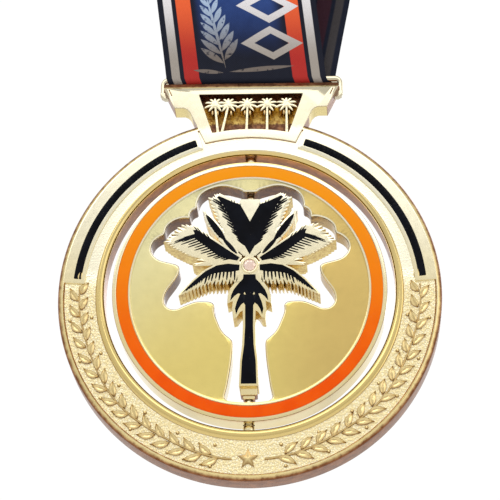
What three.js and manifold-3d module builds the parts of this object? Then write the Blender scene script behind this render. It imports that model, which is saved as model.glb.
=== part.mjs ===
// Sports finisher medal: a die-cast ring with a stepped hanger, a spinning disc, a palm tree that
// spins inside the disc, and a satin neck ribbon folded into a hank for storage.
// Millimetres, +Z up, the front faces -Y. The origin is where a hook carries the ribbon.

import * as THREE from 'three';
import { mergeVertices } from 'three/addons/utils/BufferGeometryUtils.js';
import Module from 'manifold-3d';

const wasm = await Module();
wasm.setup();

// ---------------------------------------------------------------- driving dimensions

const RING_OUTER = 44.45;
const RING_INNER = 33.8;
const RING_HALF = 3.75;
const OUTER_RIM = 1.3;
const INNER_RIM = 1.85;
const RIM_CHAMFER = 0.8;
const FIELD_SINK = 0.5;
const ROUND_STEPS = 72;

const ARC_RADIUS = 40.2;
const ARC_WIDTH = 1.75;
const ARC_FROM = 18.5;
const ARC_TO = 84;
const PAD_INNER = 38.4;
const PAD_END = 1.6;

const HANGER_FRONT = -RING_HALF;
const HANGER_BACK = 1.85;
const HANGER_TOP = 53.5;
const HANGER_STEP = 47.3;
const HANGER_HALF = 20.9;
const HANGER_STEP_HALF = 18.2;
const PANEL_HALF = 14.4;
const PANEL_FOOT_HALF = 10.7;
const PANEL_FOOT = 39.6;
const PANEL_FOOT_SIDE = 38.2;
const TOP_BEVEL = 0.9;
const WINDOW_TOP = 50.8;
const WINDOW_FOOT = 41.7;
const WINDOW_TOP_HALF = 12.4;
const WINDOW_FOOT_HALF = 9.1;
const WINDOW_DEPTH = 3.4;

const SLOT_HEIGHT = 1.8;
const SLOT_HALF = 20.7;
const BAR_SIZE = 1.6;
const BAR_SIDE = 1.2;
const EAR_FOOT = 50.9;
const EAR_TOP = 52.8;
const BAR_Z = HANGER_TOP + SLOT_HEIGHT + BAR_SIZE / 2;

const DISC_LIFT = 1.4;
const PIN_REACH = 2.4;
const DISC_RADIUS = 31.9;
const DISC_HALF = 3.4;
const BAND_OUTER = 31.1;
const BAND_INNER = 28;
const BAND_DEPTH = 0.6;

const PALM_HALF = 3.2;
const CROWN_Z = 5.9;
const CUTOUT_GAP = 2.8;
const CELL_DEPTH = 0.5;
const ENAMEL_SINK = 0.1;
const ENAMEL_GAP = 0.06;

const PIN_SIDES = 12;
const DISC_PIN_RADIUS = 1.1;
const PALM_PIN_RADIUS = 0.75;
const PRESS_GAP = 0.08;
const RUN_GAP = 0.25;
const STONE_DOME = [[0.001, 0], [1.6, 0], [1.6, 0.15], [1.2, 0.42], [0.001, 0.62]];

const RIBBON_WIDTH = 38;
const RIBBON_THICK = 0.7;
const FRONT_LEAN = 7;
const BACK_LEAN = 9;
const SLOT_SHIFT = 1;
const FOLD_RADIUS = 1.5;
const LAYERS = 10;
const LAYER_PITCH = 4 / 3;
const HANK_FOOT = 87;
const HANK_TOP = 158.5;
const EYE_RADIUS = 3.4;
const EYE_Z = HANK_TOP + 6.5;
const HOOK_Z = EYE_Z + EYE_RADIUS - RIBBON_THICK / 2;
const SEAM_OVERLAP = 12;
const TIE_Z = 120;
const TIE_HEIGHT = 8;
const TIE_GAP = 0.7;
const TIE_SLACK = 0.15;
const TIE_THICK = 1;

// ---------------------------------------------------------------- solids

function toSolid(geometry) {
  const bare = geometry.clone();
  bare.deleteAttribute('normal');
  bare.deleteAttribute('uv');
  const merged = mergeVertices(bare, 1e-4);
  const mesh = new wasm.Mesh({
    numProp: 3,
    vertProperties: new Float32Array(merged.attributes.position.array),
    triVerts: new Uint32Array(merged.index.array),
  });
  return new wasm.Manifold(mesh);
}

function toGeometry(solid) {
  const mesh = solid.getMesh();
  const geometry = new THREE.BufferGeometry();
  geometry.setAttribute('position', new THREE.BufferAttribute(new Float32Array(mesh.vertProperties), 3));
  geometry.setIndex(new THREE.BufferAttribute(new Uint32Array(mesh.triVerts), 1));
  geometry.computeVertexNormals();
  return geometry;
}

function joined(solids) {
  return solids.reduce((whole, piece) => whole.add(piece));
}

// An outline drawn in X and Z, made solid from the front plane to the back plane along Y.
function plate(outline, front, back) {
  const shape = new THREE.Shape(outline.map(([x, z]) => new THREE.Vector2(x, z)));
  const geometry = new THREE.ExtrudeGeometry(shape, { depth: back - front, bevelEnabled: false });
  geometry.rotateX(Math.PI / 2);
  geometry.translate(0, back, 0);
  return toSolid(geometry);
}

// A profile of [radius, y] points turned about the Y axis; it closes on itself.
function turned(profile, steps = ROUND_STEPS) {
  const points = profile.map(([radius, y]) => new THREE.Vector2(radius, y));
  if (THREE.ShapeUtils.isClockWise(points)) points.reverse();
  points.push(points[0].clone());
  return toSolid(new THREE.LatheGeometry(points, steps));
}

// A round pin or hole along Z.
function upright(radius, from, to, y = 0) {
  const geometry = new THREE.CylinderGeometry(radius, radius, to - from, PIN_SIDES);
  geometry.rotateX(Math.PI / 2);
  geometry.translate(0, y, (from + to) / 2);
  return toSolid(geometry);
}

function block(halfX, front, back, low, high, x = 0) {
  return plate([[x - halfX, low], [x + halfX, low], [x + halfX, high], [x - halfX, high]], front, back);
}

const mirrored = (outline) => outline.map(([x, z]) => [-x, z]);

// ---------------------------------------------------------------- outlines

// Part of a ring between two radii; angles are degrees from the top, positive to the right.
function sector(inner, outer, from, to, steps = 22) {
  const at = (radius, degrees) => {
    const angle = THREE.MathUtils.degToRad(degrees);
    return [radius * Math.sin(angle), radius * Math.cos(angle)];
  };
  const angles = Array.from({ length: steps + 1 }, (_, i) => from + ((to - from) * i) / steps);
  return [...angles.map((a) => at(outer, a)), ...angles.reverse().map((a) => at(inner, a))];
}

// A leaf along a bent spine: full in the middle and narrow at both ends.
function blade({ start, bend, tip, width, root = 0.7, end = 0.25 }, grow = 0, steps = 9) {
  const spine = new THREE.QuadraticBezierCurve(
    new THREE.Vector2(...start), new THREE.Vector2(...bend), new THREE.Vector2(...tip));
  const left = [];
  const right = [];
  for (let i = 0; i <= steps; i += 1) {
    const t = i / steps;
    const point = spine.getPoint(t);
    const along = spine.getTangent(t);
    const full = width * (4 * t * (1 - t)) ** 0.6;
    const half = Math.max(full, root * (1 - t) + end * t) + grow;
    left.push([point.x - along.y * half, point.y + along.x * half]);
    right.push([point.x + along.y * half, point.y - along.x * half]);
  }
  return [...right, ...left.reverse()];
}

function circle(x, z, radius, steps = 14) {
  return Array.from({ length: steps }, (_, i) => {
    const angle = (2 * Math.PI * (i + 0.5)) / steps;
    return [x + radius * Math.cos(angle), z + radius * Math.sin(angle)];
  });
}

// ---------------------------------------------------------------- palm spinner

// The right-hand fronds; the left-hand ones mirror them.
const FRONDS = [
  { start: [0.4, CROWN_Z], bend: [3.6, 16.5], tip: [9.2, 23.3], width: 2.4, end: 0.8 },
  { start: [0.4, CROWN_Z], bend: [6.2, 13.4], tip: [12.2, 19.2], width: 1.7, end: 0.5 },
  { start: [0.6, CROWN_Z], bend: [12.2, 15.4], tip: [20.0, 12.0], width: 3.0, end: 0.8 },
  { start: [0.6, CROWN_Z], bend: [8.4, 10.0], tip: [14.6, 6.4], width: 1.9, end: 0.4 },
  { start: [0.6, CROWN_Z], bend: [11.4, 6.6], tip: [16.4, -1.6], width: 2.1, end: 0.5 },
  { start: [0.2, 4.4], bend: [3.8, 2.2], tip: [4.9, -3.0], width: 1.1, end: 0.3 },
  { start: [0.2, 2.0], bend: [2.4, -1.5], tip: [3.0, -7.0], width: 0.9, end: 0.3 },
];

// The heart between the two highest fronds, with the flat top that takes the upper pin.
const HEART_TOP = 22.5;
const HEART = [
  [0, CROWN_Z], [4.2, 13.6], [8.2, 22.4], [3.4, 21.2], [2.1, HEART_TOP],
  [-2.1, HEART_TOP], [-3.4, 21.2], [-8.2, 22.4], [-4.2, 13.6],
];

const TRUNK_FOOT = -22.3;
const TRUNK_WAIST = -9;
const STUB_STEPS = [[1.75, -23.6], [1.35, -24.9]];
const CUTOUT_FOOT = -27.3;
const CUTOUT_DIP = 23.3;
const DIP_HALF = 4;
const LUG_HALF = 2.6;

function trunk(grow) {
  return [
    [0.9 + grow, 4], [1.25 + grow, TRUNK_WAIST], [2.1 + grow, TRUNK_FOOT - grow],
    [-2.1 - grow, TRUNK_FOOT - grow], [-1.25 - grow, TRUNK_WAIST], [-0.9 - grow, 4],
  ];
}

const CELLS = {
  heart: [
    [0, 9.6], [2.5, 14.2], [4.4, 18.3], [7.9, 21.9], [4.3, 20.7], [2.5, 19.4], [0, 14.6],
    [-2.5, 19.4], [-4.3, 20.7], [-7.9, 21.9], [-4.4, 18.3], [-2.5, 14.2],
  ],
  between: { start: [3.7, 10.6], bend: [6.4, 13.4], tip: [9.9, 16.8], width: 0.75, root: 0.2, end: 0.2 },
  side: { start: [2.8, 7.9], bend: [10.4, 13.2], tip: [17.4, 12.7], width: 1.25, root: 0.5, end: 0.25 },
  low: { start: [2.8, 6.2], bend: [10.4, 5.8], tip: [15.4, -0.7], width: 0.95, root: 0.5, end: 0.2 },
};

const TRUNK_CELL = [
  [0.75, 3.4], [0.75, TRUNK_WAIST], [1.45, TRUNK_FOOT + 0.7],
  [-1.45, TRUNK_FOOT + 0.7], [-0.75, TRUNK_WAIST], [-0.75, 3.4],
];
const SKIRT_CELLS = [
  { start: [0.2, 3.0], bend: [3.2, 1.6], tip: [4.5, -2.3], width: 0.55, root: 0.45, end: 0.15 },
  { start: [0.2, 0.4], bend: [2.0, -1.9], tip: [2.75, -6.2], width: 0.45, root: 0.4, end: 0.15 },
];

// Moves every corner of a closed outline outwards along its own bisector.
function offset(outline, distance) {
  const area = outline.reduce((sum, [x, z], i) => {
    const [nextX, nextZ] = outline[(i + 1) % outline.length];
    return sum + x * nextZ - nextX * z;
  }, 0);
  const side = Math.sign(area) * distance;
  return outline.map(([x, z], i) => {
    const before = outline[(i + outline.length - 1) % outline.length];
    const after = outline[(i + 1) % outline.length];
    const a = new THREE.Vector2(x - before[0], z - before[1]).normalize();
    const b = new THREE.Vector2(after[0] - x, after[1] - z).normalize();
    const normal = new THREE.Vector2(a.y + b.y, -a.x - b.x).normalize();
    const reach = side / Math.max(0.5, normal.x * a.y - normal.y * a.x);
    return [x + normal.x * reach, z + normal.y * reach];
  });
}

// The enamel cells of one palm face, named, as outlines to be joined into one cell each.
function cellOutlines(grow) {
  const cells = { heart: [offset(CELLS.heart, grow)] };
  for (const name of ['between', 'side', 'low']) {
    const outline = blade(CELLS[name], grow);
    cells[`${name}_right`] = [outline];
    cells[`${name}_left`] = [mirrored(outline)];
  }
  const skirt = SKIRT_CELLS.map((leaf) => blade(leaf, grow, 5));
  cells.trunk = [offset(TRUNK_CELL, grow), ...skirt, ...skirt.map(mirrored)];
  return cells;
}

function cellSolid(outlines, front, back) {
  return joined(outlines.map((outline) => plate(outline, front, back)));
}

function palmSolid() {
  const leaves = FRONDS.map((frond) => blade(frond));
  const outlines = [...leaves, ...leaves.map(mirrored), HEART, trunk(0), circle(0, CROWN_Z, 2.3)];
  let palm = joined(outlines.map((outline) => plate(outline, -PALM_HALF, PALM_HALF)));
  let from = TRUNK_FOOT + 0.5;
  for (const [half, to] of STUB_STEPS) {
    palm = palm.add(block(half, -half, half, to, from));
    from = to + 0.1;
  }
  for (const outlinesOfCell of Object.values(cellOutlines(0))) {
    palm = palm.subtract(cellSolid(outlinesOfCell, -PALM_HALF - 1, -PALM_HALF + CELL_DEPTH));
    palm = palm.subtract(cellSolid(outlinesOfCell, PALM_HALF - CELL_DEPTH, PALM_HALF + 1));
  }
  const hole = PALM_PIN_RADIUS + RUN_GAP;
  palm = palm.subtract(upright(hole, HEART_TOP - 1.6, HEART_TOP + 1));
  return palm.subtract(upright(hole, STUB_STEPS[1][1] - 1, STUB_STEPS[1][1] + 1.6));
}

// ---------------------------------------------------------------- spinning disc

// The opening follows the palm with an even gap, so that the palm can turn inside it.
function cutoutSolid() {
  const leaves = FRONDS.map((frond) => blade(frond, CUTOUT_GAP));
  const tips = FRONDS.map(({ tip, end }) => circle(...tip, CUTOUT_GAP + end));
  const right = [...leaves, ...tips];
  const slot = [[3.6, 2], [4.3, CUTOUT_FOOT + 1], [3.3, CUTOUT_FOOT], [-3.3, CUTOUT_FOOT],
    [-4.3, CUTOUT_FOOT + 1], [-3.6, 2]];
  const crown = circle(0, CROWN_Z, 4.5);
  const notch = [[DIP_HALF, CUTOUT_DIP], [DIP_HALF, 15], [-DIP_HALF, 15], [-DIP_HALF, CUTOUT_DIP]];
  const outlines = [...right, ...right.map(mirrored), crown, notch, slot];
  const opening = joined(outlines.map((outline) => plate(outline, -DISC_HALF - 1, DISC_HALF + 1)));
  return opening.subtract(block(LUG_HALF, -DISC_HALF - 2, DISC_HALF + 2, CUTOUT_DIP, CUTOUT_DIP + 5));
}

function discSolid() {
  const floor = DISC_HALF - BAND_DEPTH;
  const profile = [
    [0.001, -DISC_HALF], [BAND_INNER, -DISC_HALF], [BAND_INNER, -floor], [BAND_OUTER, -floor],
    [BAND_OUTER, -DISC_HALF], [DISC_RADIUS, -DISC_HALF], [DISC_RADIUS, DISC_HALF],
    [BAND_OUTER, DISC_HALF], [BAND_OUTER, floor], [BAND_INNER, floor], [BAND_INNER, DISC_HALF],
    [0.001, DISC_HALF],
  ];
  const running = DISC_PIN_RADIUS + RUN_GAP;
  const pressed = PALM_PIN_RADIUS + PRESS_GAP;
  return turned(profile)
    .subtract(cutoutSolid())
    .subtract(upright(running, DISC_RADIUS - 2.4, DISC_RADIUS + 2))
    .subtract(upright(running, -DISC_RADIUS - 2, -DISC_RADIUS + 2.4))
    .subtract(upright(pressed, CUTOUT_DIP - 1, CUTOUT_DIP + 2.2))
    .subtract(upright(pressed, CUTOUT_FOOT - 1.6, CUTOUT_FOOT + 1));
}

function bandSolid(side) {
  const low = side * (DISC_HALF - BAND_DEPTH + ENAMEL_GAP);
  const high = side * (DISC_HALF - ENAMEL_SINK);
  const [front, back] = side < 0 ? [high, low] : [low, high];
  const inner = BAND_INNER + ENAMEL_GAP;
  const outer = BAND_OUTER - ENAMEL_GAP;
  return turned([[inner, front], [outer, front], [outer, back], [inner, back]]);
}

// ---------------------------------------------------------------- frame casting

// The opening shares its centre with the lifted disc; its bead fades back to the ring's centre.
function ringSolid() {
  const field = RING_HALF - FIELD_SINK;
  const inside = RING_INNER + INNER_RIM;
  const outside = RING_OUTER - OUTER_RIM;
  const crest = RING_INNER + RIM_CHAMFER;
  const throat = RING_HALF - RIM_CHAMFER;
  const body = turned([
    [RING_INNER, -throat], [crest, -RING_HALF], [inside, -RING_HALF], [inside, -field],
    [outside, -field], [outside, -RING_HALF], [RING_OUTER, -RING_HALF], [RING_OUTER, RING_HALF],
    [outside, RING_HALF], [outside, field], [inside, field], [inside, RING_HALF],
    [crest, RING_HALF], [RING_INNER, throat],
  ]);
  return body.warp((point) => {
    const radius = Math.hypot(point[0], point[2]);
    if (radius < (crest + inside) / 2) point[2] += DISC_LIFT;
    else if (radius < (inside + outside) / 2) point[2] += DISC_LIFT / 2;
  });
}

// A raised pad on the ring's front, out to the rim, that carries one black arc.
function arcPad(side) {
  const angles = [side * (ARC_FROM - PAD_END), side * (ARC_TO + PAD_END)];
  const outline = sector(PAD_INNER, RING_OUTER - OUTER_RIM + 0.3, ...angles);
  return plate(outline, -RING_HALF, -RING_HALF + FIELD_SINK + 0.5);
}

function arcEnamel(side, grow, front, back) {
  const half = ARC_WIDTH / 2 + grow;
  const spread = (grow / ARC_RADIUS) * (180 / Math.PI);
  const angles = [side * (ARC_FROM - spread), side * (ARC_TO + spread)];
  return plate(sector(ARC_RADIUS - half, ARC_RADIUS + half, ...angles), front, back);
}

function panelOutline() {
  const shoulder = [
    [HANGER_HALF, HANGER_TOP], [HANGER_STEP_HALF, HANGER_STEP], [PANEL_HALF + 1.2, HANGER_STEP],
    [PANEL_HALF + 0.2, HANGER_STEP - 0.9], [PANEL_HALF - 0.4, HANGER_STEP - 2.2],
    [PANEL_FOOT_HALF, PANEL_FOOT_SIDE],
  ];
  const foot = [[PANEL_FOOT_HALF / 2, PANEL_FOOT - 0.4]];
  const right = [...shoulder, ...foot];
  return [...right, [0, PANEL_FOOT], ...mirrored(right).reverse()];
}

// The long edges along the hanger's top are cut back at 45 degrees.
function topBevel(y, inward) {
  const reach = HANGER_HALF + 2;
  const profile = [[y - inward, HANGER_TOP + 1], [y - inward, HANGER_TOP - TOP_BEVEL],
    [y, HANGER_TOP - TOP_BEVEL], [y + inward * TOP_BEVEL, HANGER_TOP], [y + inward, HANGER_TOP + 1]];
  const shape = new THREE.Shape(profile.map(([py, z]) => new THREE.Vector2(py, z)));
  const geometry = new THREE.ExtrudeGeometry(shape, { depth: 2 * reach, bevelEnabled: false });
  geometry.rotateX(Math.PI / 2);
  geometry.rotateZ(Math.PI / 2);
  geometry.translate(-reach, 0, 0);
  return toSolid(geometry);
}

const SMALL_PALMS = [
  { crown: -8.5, foot: -7.7 },
  { crown: -5.3, foot: -7.0 },
  { crown: -0.8, foot: -1.0 },
  { crown: 3.9, foot: 3.9 },
  { crown: 8.5, foot: 8.6 },
];
const SMALL_CROWN_Z = 47.9;

function smallPalm({ crown, foot }, front, back) {
  const star = Array.from({ length: 12 }, (_, i) => {
    const angle = (Math.PI * i) / 6;
    const radius = i % 2 ? 0.75 : 2.35;
    return [crown + radius * Math.sin(angle), SMALL_CROWN_Z + radius * Math.cos(angle)];
  });
  const stem = [[foot - 0.4, WINDOW_FOOT - 1.5], [foot + 0.4, WINDOW_FOOT - 1.5],
    [crown + 0.3, SMALL_CROWN_Z], [crown - 0.3, SMALL_CROWN_Z]];
  return plate(star, front, back).add(plate(stem, front, back));
}

// The trapezium window is a deep pocket with the little palms standing on its floor.
function windowSolid() {
  const outline = [
    [WINDOW_TOP_HALF, WINDOW_TOP], [WINDOW_FOOT_HALF, WINDOW_FOOT - 0.9],
    [WINDOW_FOOT_HALF / 2, WINDOW_FOOT - 0.2], [0, WINDOW_FOOT],
  ];
  const whole = [...outline, ...mirrored(outline.slice(0, 3)).reverse()];
  const floor = HANGER_FRONT + WINDOW_DEPTH;
  let pocket = plate(whole, HANGER_FRONT - 1, floor);
  for (const palm of SMALL_PALMS) {
    pocket = pocket.subtract(smallPalm(palm, HANGER_FRONT + 0.15, floor + 0.5));
  }
  return pocket;
}

// The loop above the hanger: a side bar on an ear at each end of the cornice, and the round-edged
// bar that the ribbon carries.
function loopSolid() {
  const half = BAR_SIZE / 2;
  const outside = SLOT_HALF + BAR_SIDE;
  const sides = [-1, 1].flatMap((side) => [
    block(BAR_SIDE / 2, -half, half, EAR_FOOT, BAR_Z + half, side * (SLOT_HALF + BAR_SIDE / 2)),
    block((outside - HANGER_STEP_HALF) / 2, -half, half, EAR_FOOT, EAR_TOP,
      side * (outside + HANGER_STEP_HALF) / 2),
  ]);
  const bar = new THREE.CylinderGeometry(half / Math.cos(Math.PI / 8), half / Math.cos(Math.PI / 8),
    2 * SLOT_HALF + BAR_SIDE, 8);
  bar.rotateY(Math.PI / 8);
  bar.rotateZ(Math.PI / 2);
  bar.translate(0, 0, BAR_Z);
  return joined([...sides, toSolid(bar)]);
}

function frameSolid() {
  const hole = DISC_PIN_RADIUS + PRESS_GAP;
  const gapEdge = Math.sqrt(RING_INNER ** 2 - hole ** 2);
  let frame = ringSolid().add(arcPad(1)).add(arcPad(-1));
  let hanger = plate(panelOutline(), HANGER_FRONT, HANGER_BACK);
  hanger = hanger.subtract(topBevel(HANGER_FRONT, 1)).subtract(topBevel(HANGER_BACK, -1));
  frame = frame.add(hanger).subtract(windowSolid()).add(loopSolid());
  for (const side of [1, -1]) {
    frame = frame.subtract(arcEnamel(side, 0, -RING_HALF - 1, -RING_HALF + FIELD_SINK));
  }
  const blindEnd = RING_INNER + PIN_REACH + 0.2;
  return frame
    .subtract(upright(hole, DISC_LIFT + gapEdge - 2, DISC_LIFT + blindEnd))
    .subtract(upright(hole, DISC_LIFT - blindEnd, DISC_LIFT - gapEdge + 2));
}

// ---------------------------------------------------------------- neck ribbon

function arcPoints(y, z, radius, from, to, steps) {
  return Array.from({ length: steps + 1 }, (_, i) => {
    const angle = THREE.MathUtils.degToRad(from + ((to - from) * i) / steps);
    return [y + radius * Math.cos(angle), z + radius * Math.sin(angle)];
  });
}

function run(y, from, to, steps = 6) {
  return Array.from({ length: steps - 1 }, (_, i) => [y, from + ((to - from) * (i + 1)) / steps]);
}

// The two legs part smoothly from the bar up to the outermost layers of the hank.
const LAYER_OUT = ((LAYERS - 1) * LAYER_PITCH) / 2;
const LEG_RISE = 31;

function legPoints(side, steps = 10) {
  return Array.from({ length: steps }, (_, i) => {
    const t = (i + 1) / steps;
    const ease = t * t * (3 - 2 * t);
    return [side * (FOLD_RADIUS + (LAYER_OUT - FOLD_RADIUS) * ease), BAR_Z + LEG_RISE * t];
  });
}

// The ribbon seen edge on, as [y, z] points from the seam down the back leg, under the bar,
// up the front leg and back and forth through the hank to the seam again.
function ribbonSpine() {
  const seamLow = HANK_FOOT + 9;
  const lapped = LAYER_OUT + RIBBON_THICK + 0.12;
  const spine = [[lapped, seamLow + SEAM_OVERLAP], [lapped, seamLow + 5], [lapped, seamLow - 2]];
  spine.push([LAYER_OUT + 0.25, seamLow - 6]);
  spine.push(...legPoints(1).reverse().slice(1));
  spine.push(...arcPoints(0, BAR_Z, FOLD_RADIUS, 0, -180, 8));
  spine.push(...legPoints(-1));
  for (let layer = 0; layer < LAYERS; layer += 2) {
    const y = -LAYER_OUT + layer * LAYER_PITCH;
    const middle = y + LAYER_PITCH / 2;
    const isEye = layer === LAYERS / 2 - 1;
    const low = layer === 0 ? BAR_Z + LEG_RISE : HANK_FOOT + (layer % 4);
    const nextLow = HANK_FOOT + ((layer + 2) % 4);
    const top = HANK_TOP - Math.abs(layer - 4) * 0.6;
    if (isEye) {
      const flare = [[y, HANK_TOP], [y - 0.2, HANK_TOP + 1.6], [y - 1.1, HANK_TOP + 3.3]];
      spine.push(...run(y, low, HANK_TOP), ...flare);
      spine.push(...arcPoints(0, EYE_Z, EYE_RADIUS, 210, -30, 13));
      spine.push(...flare.reverse().map(([flareY, z]) => [-flareY, z]));
    } else {
      spine.push(...run(y, low, top), ...arcPoints(middle, top, LAYER_PITCH / 2, 180, 0, 5));
    }
    if (layer < LAYERS - 2) {
      const from = isEye ? HANK_TOP : top;
      spine.push(...run(y + LAYER_PITCH, from, nextLow));
      spine.push(...arcPoints(middle + LAYER_PITCH, nextLow, LAYER_PITCH / 2, 180, 360, 5));
    } else {
      spine.push(...run(LAYER_OUT, top, seamLow, 5), [LAYER_OUT, seamLow]);
    }
  }
  return spine;
}

// How far the strip has crept to the side: steeply near the bar, then evenly through the hank.
function sideways(lengths, barAt) {
  const straight = 22;
  const fadeOver = 20;
  const wrap = (Math.PI / 2) * FOLD_RADIUS;
  const slope = (middle) => {
    const away = Math.abs(middle - barAt);
    if (away < wrap) return SLOT_SHIFT / wrap;
    const lean = THREE.MathUtils.degToRad(middle > barAt ? FRONT_LEAN : BACK_LEAN);
    const fade = THREE.MathUtils.clamp((straight + fadeOver - away) / fadeOver, 0, 1);
    return Math.tan(lean) * fade * fade * (3 - 2 * fade);
  };
  const shift = [0];
  for (let i = 1; i < lengths.length; i += 1) {
    const step = lengths[i] - lengths[i - 1];
    shift.push(shift[i - 1] - step * slope((lengths[i] + lengths[i - 1]) / 2));
  }
  const atBar = shift[lengths.indexOf(barAt)];
  const hankFrom = barAt + straight + fadeOver;
  const hankLength = lengths[lengths.length - 1] - hankFrom;
  const backToFront = shift[0] - shift[shift.length - 1];
  return shift.map((value, i) => {
    const through = Math.max(0, (lengths[i] - hankFrom) / hankLength);
    return value - atBar + through * backToFront;
  });
}

// Half the strip's width measured level, across its lean.
function ribbonHalf() {
  return RIBBON_WIDTH / 2 / Math.cos(THREE.MathUtils.degToRad((FRONT_LEAN + BACK_LEAN) / 2));
}

// Sweeps the strip: its crosswise lines stay level, and its edges creep sideways.
function ribbonGeometry() {
  const spine = ribbonSpine();
  const lengths = [0];
  for (let i = 1; i < spine.length; i += 1) {
    lengths.push(lengths[i - 1] + Math.hypot(spine[i][0] - spine[i - 1][0], spine[i][1] - spine[i - 1][1]));
  }
  const barIndex = spine.findIndex(([y, z]) => z < BAR_Z - FOLD_RADIUS * 0.9 && y < 0.6);
  const creep = sideways(lengths, lengths[barIndex]);
  const half = ribbonHalf();
  const positions = [];
  spine.forEach(([y, z], i) => {
    const before = spine[Math.max(0, i - 1)];
    const after = spine[Math.min(spine.length - 1, i + 1)];
    const along = new THREE.Vector2(after[0] - before[0], after[1] - before[1]).normalize();
    for (const side of [-1, 1]) {
      for (const face of [-1, 1]) {
        const reach = (face * RIBBON_THICK) / 2;
        positions.push(creep[i] + side * half, y - along.y * reach, z + along.x * reach);
      }
    }
  });
  const index = [];
  const quad = (a, b, c, d) => index.push(a, b, c, a, c, d);
  for (let i = 0; i < spine.length - 1; i += 1) {
    const [a, b, c, d] = [0, 1, 3, 2].map((k) => 4 * i + k);
    const [e, f, g, h] = [a + 4, b + 4, c + 4, d + 4];
    quad(a, b, f, e);
    quad(b, c, g, f);
    quad(c, d, h, g);
    quad(d, a, e, h);
  }
  const last = 4 * (spine.length - 1);
  quad(0, 2, 3, 1);
  quad(last, last + 1, last + 3, last + 2);
  const geometry = new THREE.BufferGeometry();
  geometry.setAttribute('position', new THREE.BufferAttribute(new Float32Array(positions), 3));
  geometry.setIndex(index);
  geometry.computeVertexNormals();
  geometry.userData = {
    length: lengths[lengths.length - 1],
    creep: [Math.min(...creep), Math.max(...creep)],
  };
  return geometry;
}

// A box of stitching across the lapped ends, lying on the outer layer.
function stitchSolid(creepAtSeam) {
  const surface = LAYER_OUT + RIBBON_THICK * 1.5 + 0.12;
  const [front, back] = [surface + 0.08, surface + 0.38];
  const low = HANK_FOOT + 10.2;
  const outer = block(16, front, back, low, low + 9.4, creepAtSeam);
  return outer.subtract(block(15.5, front - 1, back + 1, low + 0.5, low + 8.9, creepAtSeam));
}

// The elastic band that keeps the folded ribbon together, round the slanting stack of layers.
function tieSolid([left, right]) {
  const half = ribbonHalf();
  const y = LAYER_OUT + RIBBON_THICK / 2 + 0.3;
  const gap = TIE_GAP;
  const corners = [
    [left - half - gap, -y], [left + half + gap, -y],
    [right + half + gap, y], [right - half - gap, y],
  ];
  const band = (grow, height) => {
    const round = corners.flatMap(([x, cornerY], i) => {
      const before = corners[(i + 3) % 4];
      const after = corners[(i + 1) % 4];
      const inA = Math.atan2(cornerY - before[1], x - before[0]) - Math.PI / 2;
      const out = Math.atan2(after[1] - cornerY, after[0] - x) - Math.PI / 2;
      const turn = THREE.MathUtils.euclideanModulo(out - inA, 2 * Math.PI);
      return [0, 1, 2, 3, 4].map((k) => {
        const angle = inA + (turn * k) / 4;
        return new THREE.Vector2(x + grow * Math.cos(angle), cornerY + grow * Math.sin(angle));
      });
    });
    const shape = new THREE.Shape(round);
    const geometry = new THREE.ExtrudeGeometry(shape, { depth: height, bevelEnabled: false });
    geometry.translate(0, 0, TIE_Z - height / 2);
    return toSolid(geometry);
  };
  return band(TIE_THICK, TIE_HEIGHT).subtract(band(TIE_SLACK, TIE_HEIGHT + 2));
}

// ---------------------------------------------------------------- assembly

const FINISH = {
  gold: { color: 0xdcc878, roughness: 0.18, metalness: 1 },
  steel: { color: 0xd8c890, roughness: 0.3, metalness: 1 },
  black: { color: 0x1c1e28, roughness: 0.2, metalness: 0 },
  orange: { color: 0xf5761e, roughness: 0.2, metalness: 0 },
  stone: { color: 0xdcb4a0, roughness: 0.15, metalness: 0.6 },
  satin: { color: 0x1e2846, roughness: 0.45, metalness: 0 },
  thread: { color: 0xd8d6d8, roughness: 0.7, metalness: 0 },
  elastic: { color: 0x14161c, roughness: 0.8, metalness: 0 },
};

const medal = new THREE.Group();
medal.position.z = -HOOK_Z;

// The disc, with the palm inside it, sits a little above the middle of the ring.
const spinner = new THREE.Group();
spinner.position.z = DISC_LIFT;
medal.add(spinner);

function place(name, solid, finish, group = medal) {
  const geometry = solid instanceof THREE.BufferGeometry ? solid : toGeometry(solid);
  const mesh = new THREE.Mesh(geometry, new THREE.MeshStandardMaterial(FINISH[finish]));
  mesh.name = name;
  group.add(mesh);
}

place('medal_frame', frameSolid(), 'gold');
for (const [name, side] of [['arc_enamel_right', 1], ['arc_enamel_left', -1]]) {
  const front = -RING_HALF + ENAMEL_SINK;
  const back = -RING_HALF + FIELD_SINK - ENAMEL_GAP;
  place(name, arcEnamel(side, -ENAMEL_GAP, front, back), 'black');
}

place('spinner_disc', discSolid(), 'gold', spinner);
place('orange_ring_front', bandSolid(-1), 'orange', spinner);
place('orange_ring_back', bandSolid(1), 'orange', spinner);
const inRing = RING_INNER + PIN_REACH;
const inDisc = DISC_RADIUS - 2.2;
place('disc_pin_top', upright(DISC_PIN_RADIUS, DISC_LIFT + inDisc, DISC_LIFT + inRing), 'steel');
place('disc_pin_bottom', upright(DISC_PIN_RADIUS, DISC_LIFT - inRing, DISC_LIFT - inDisc), 'steel');

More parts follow.
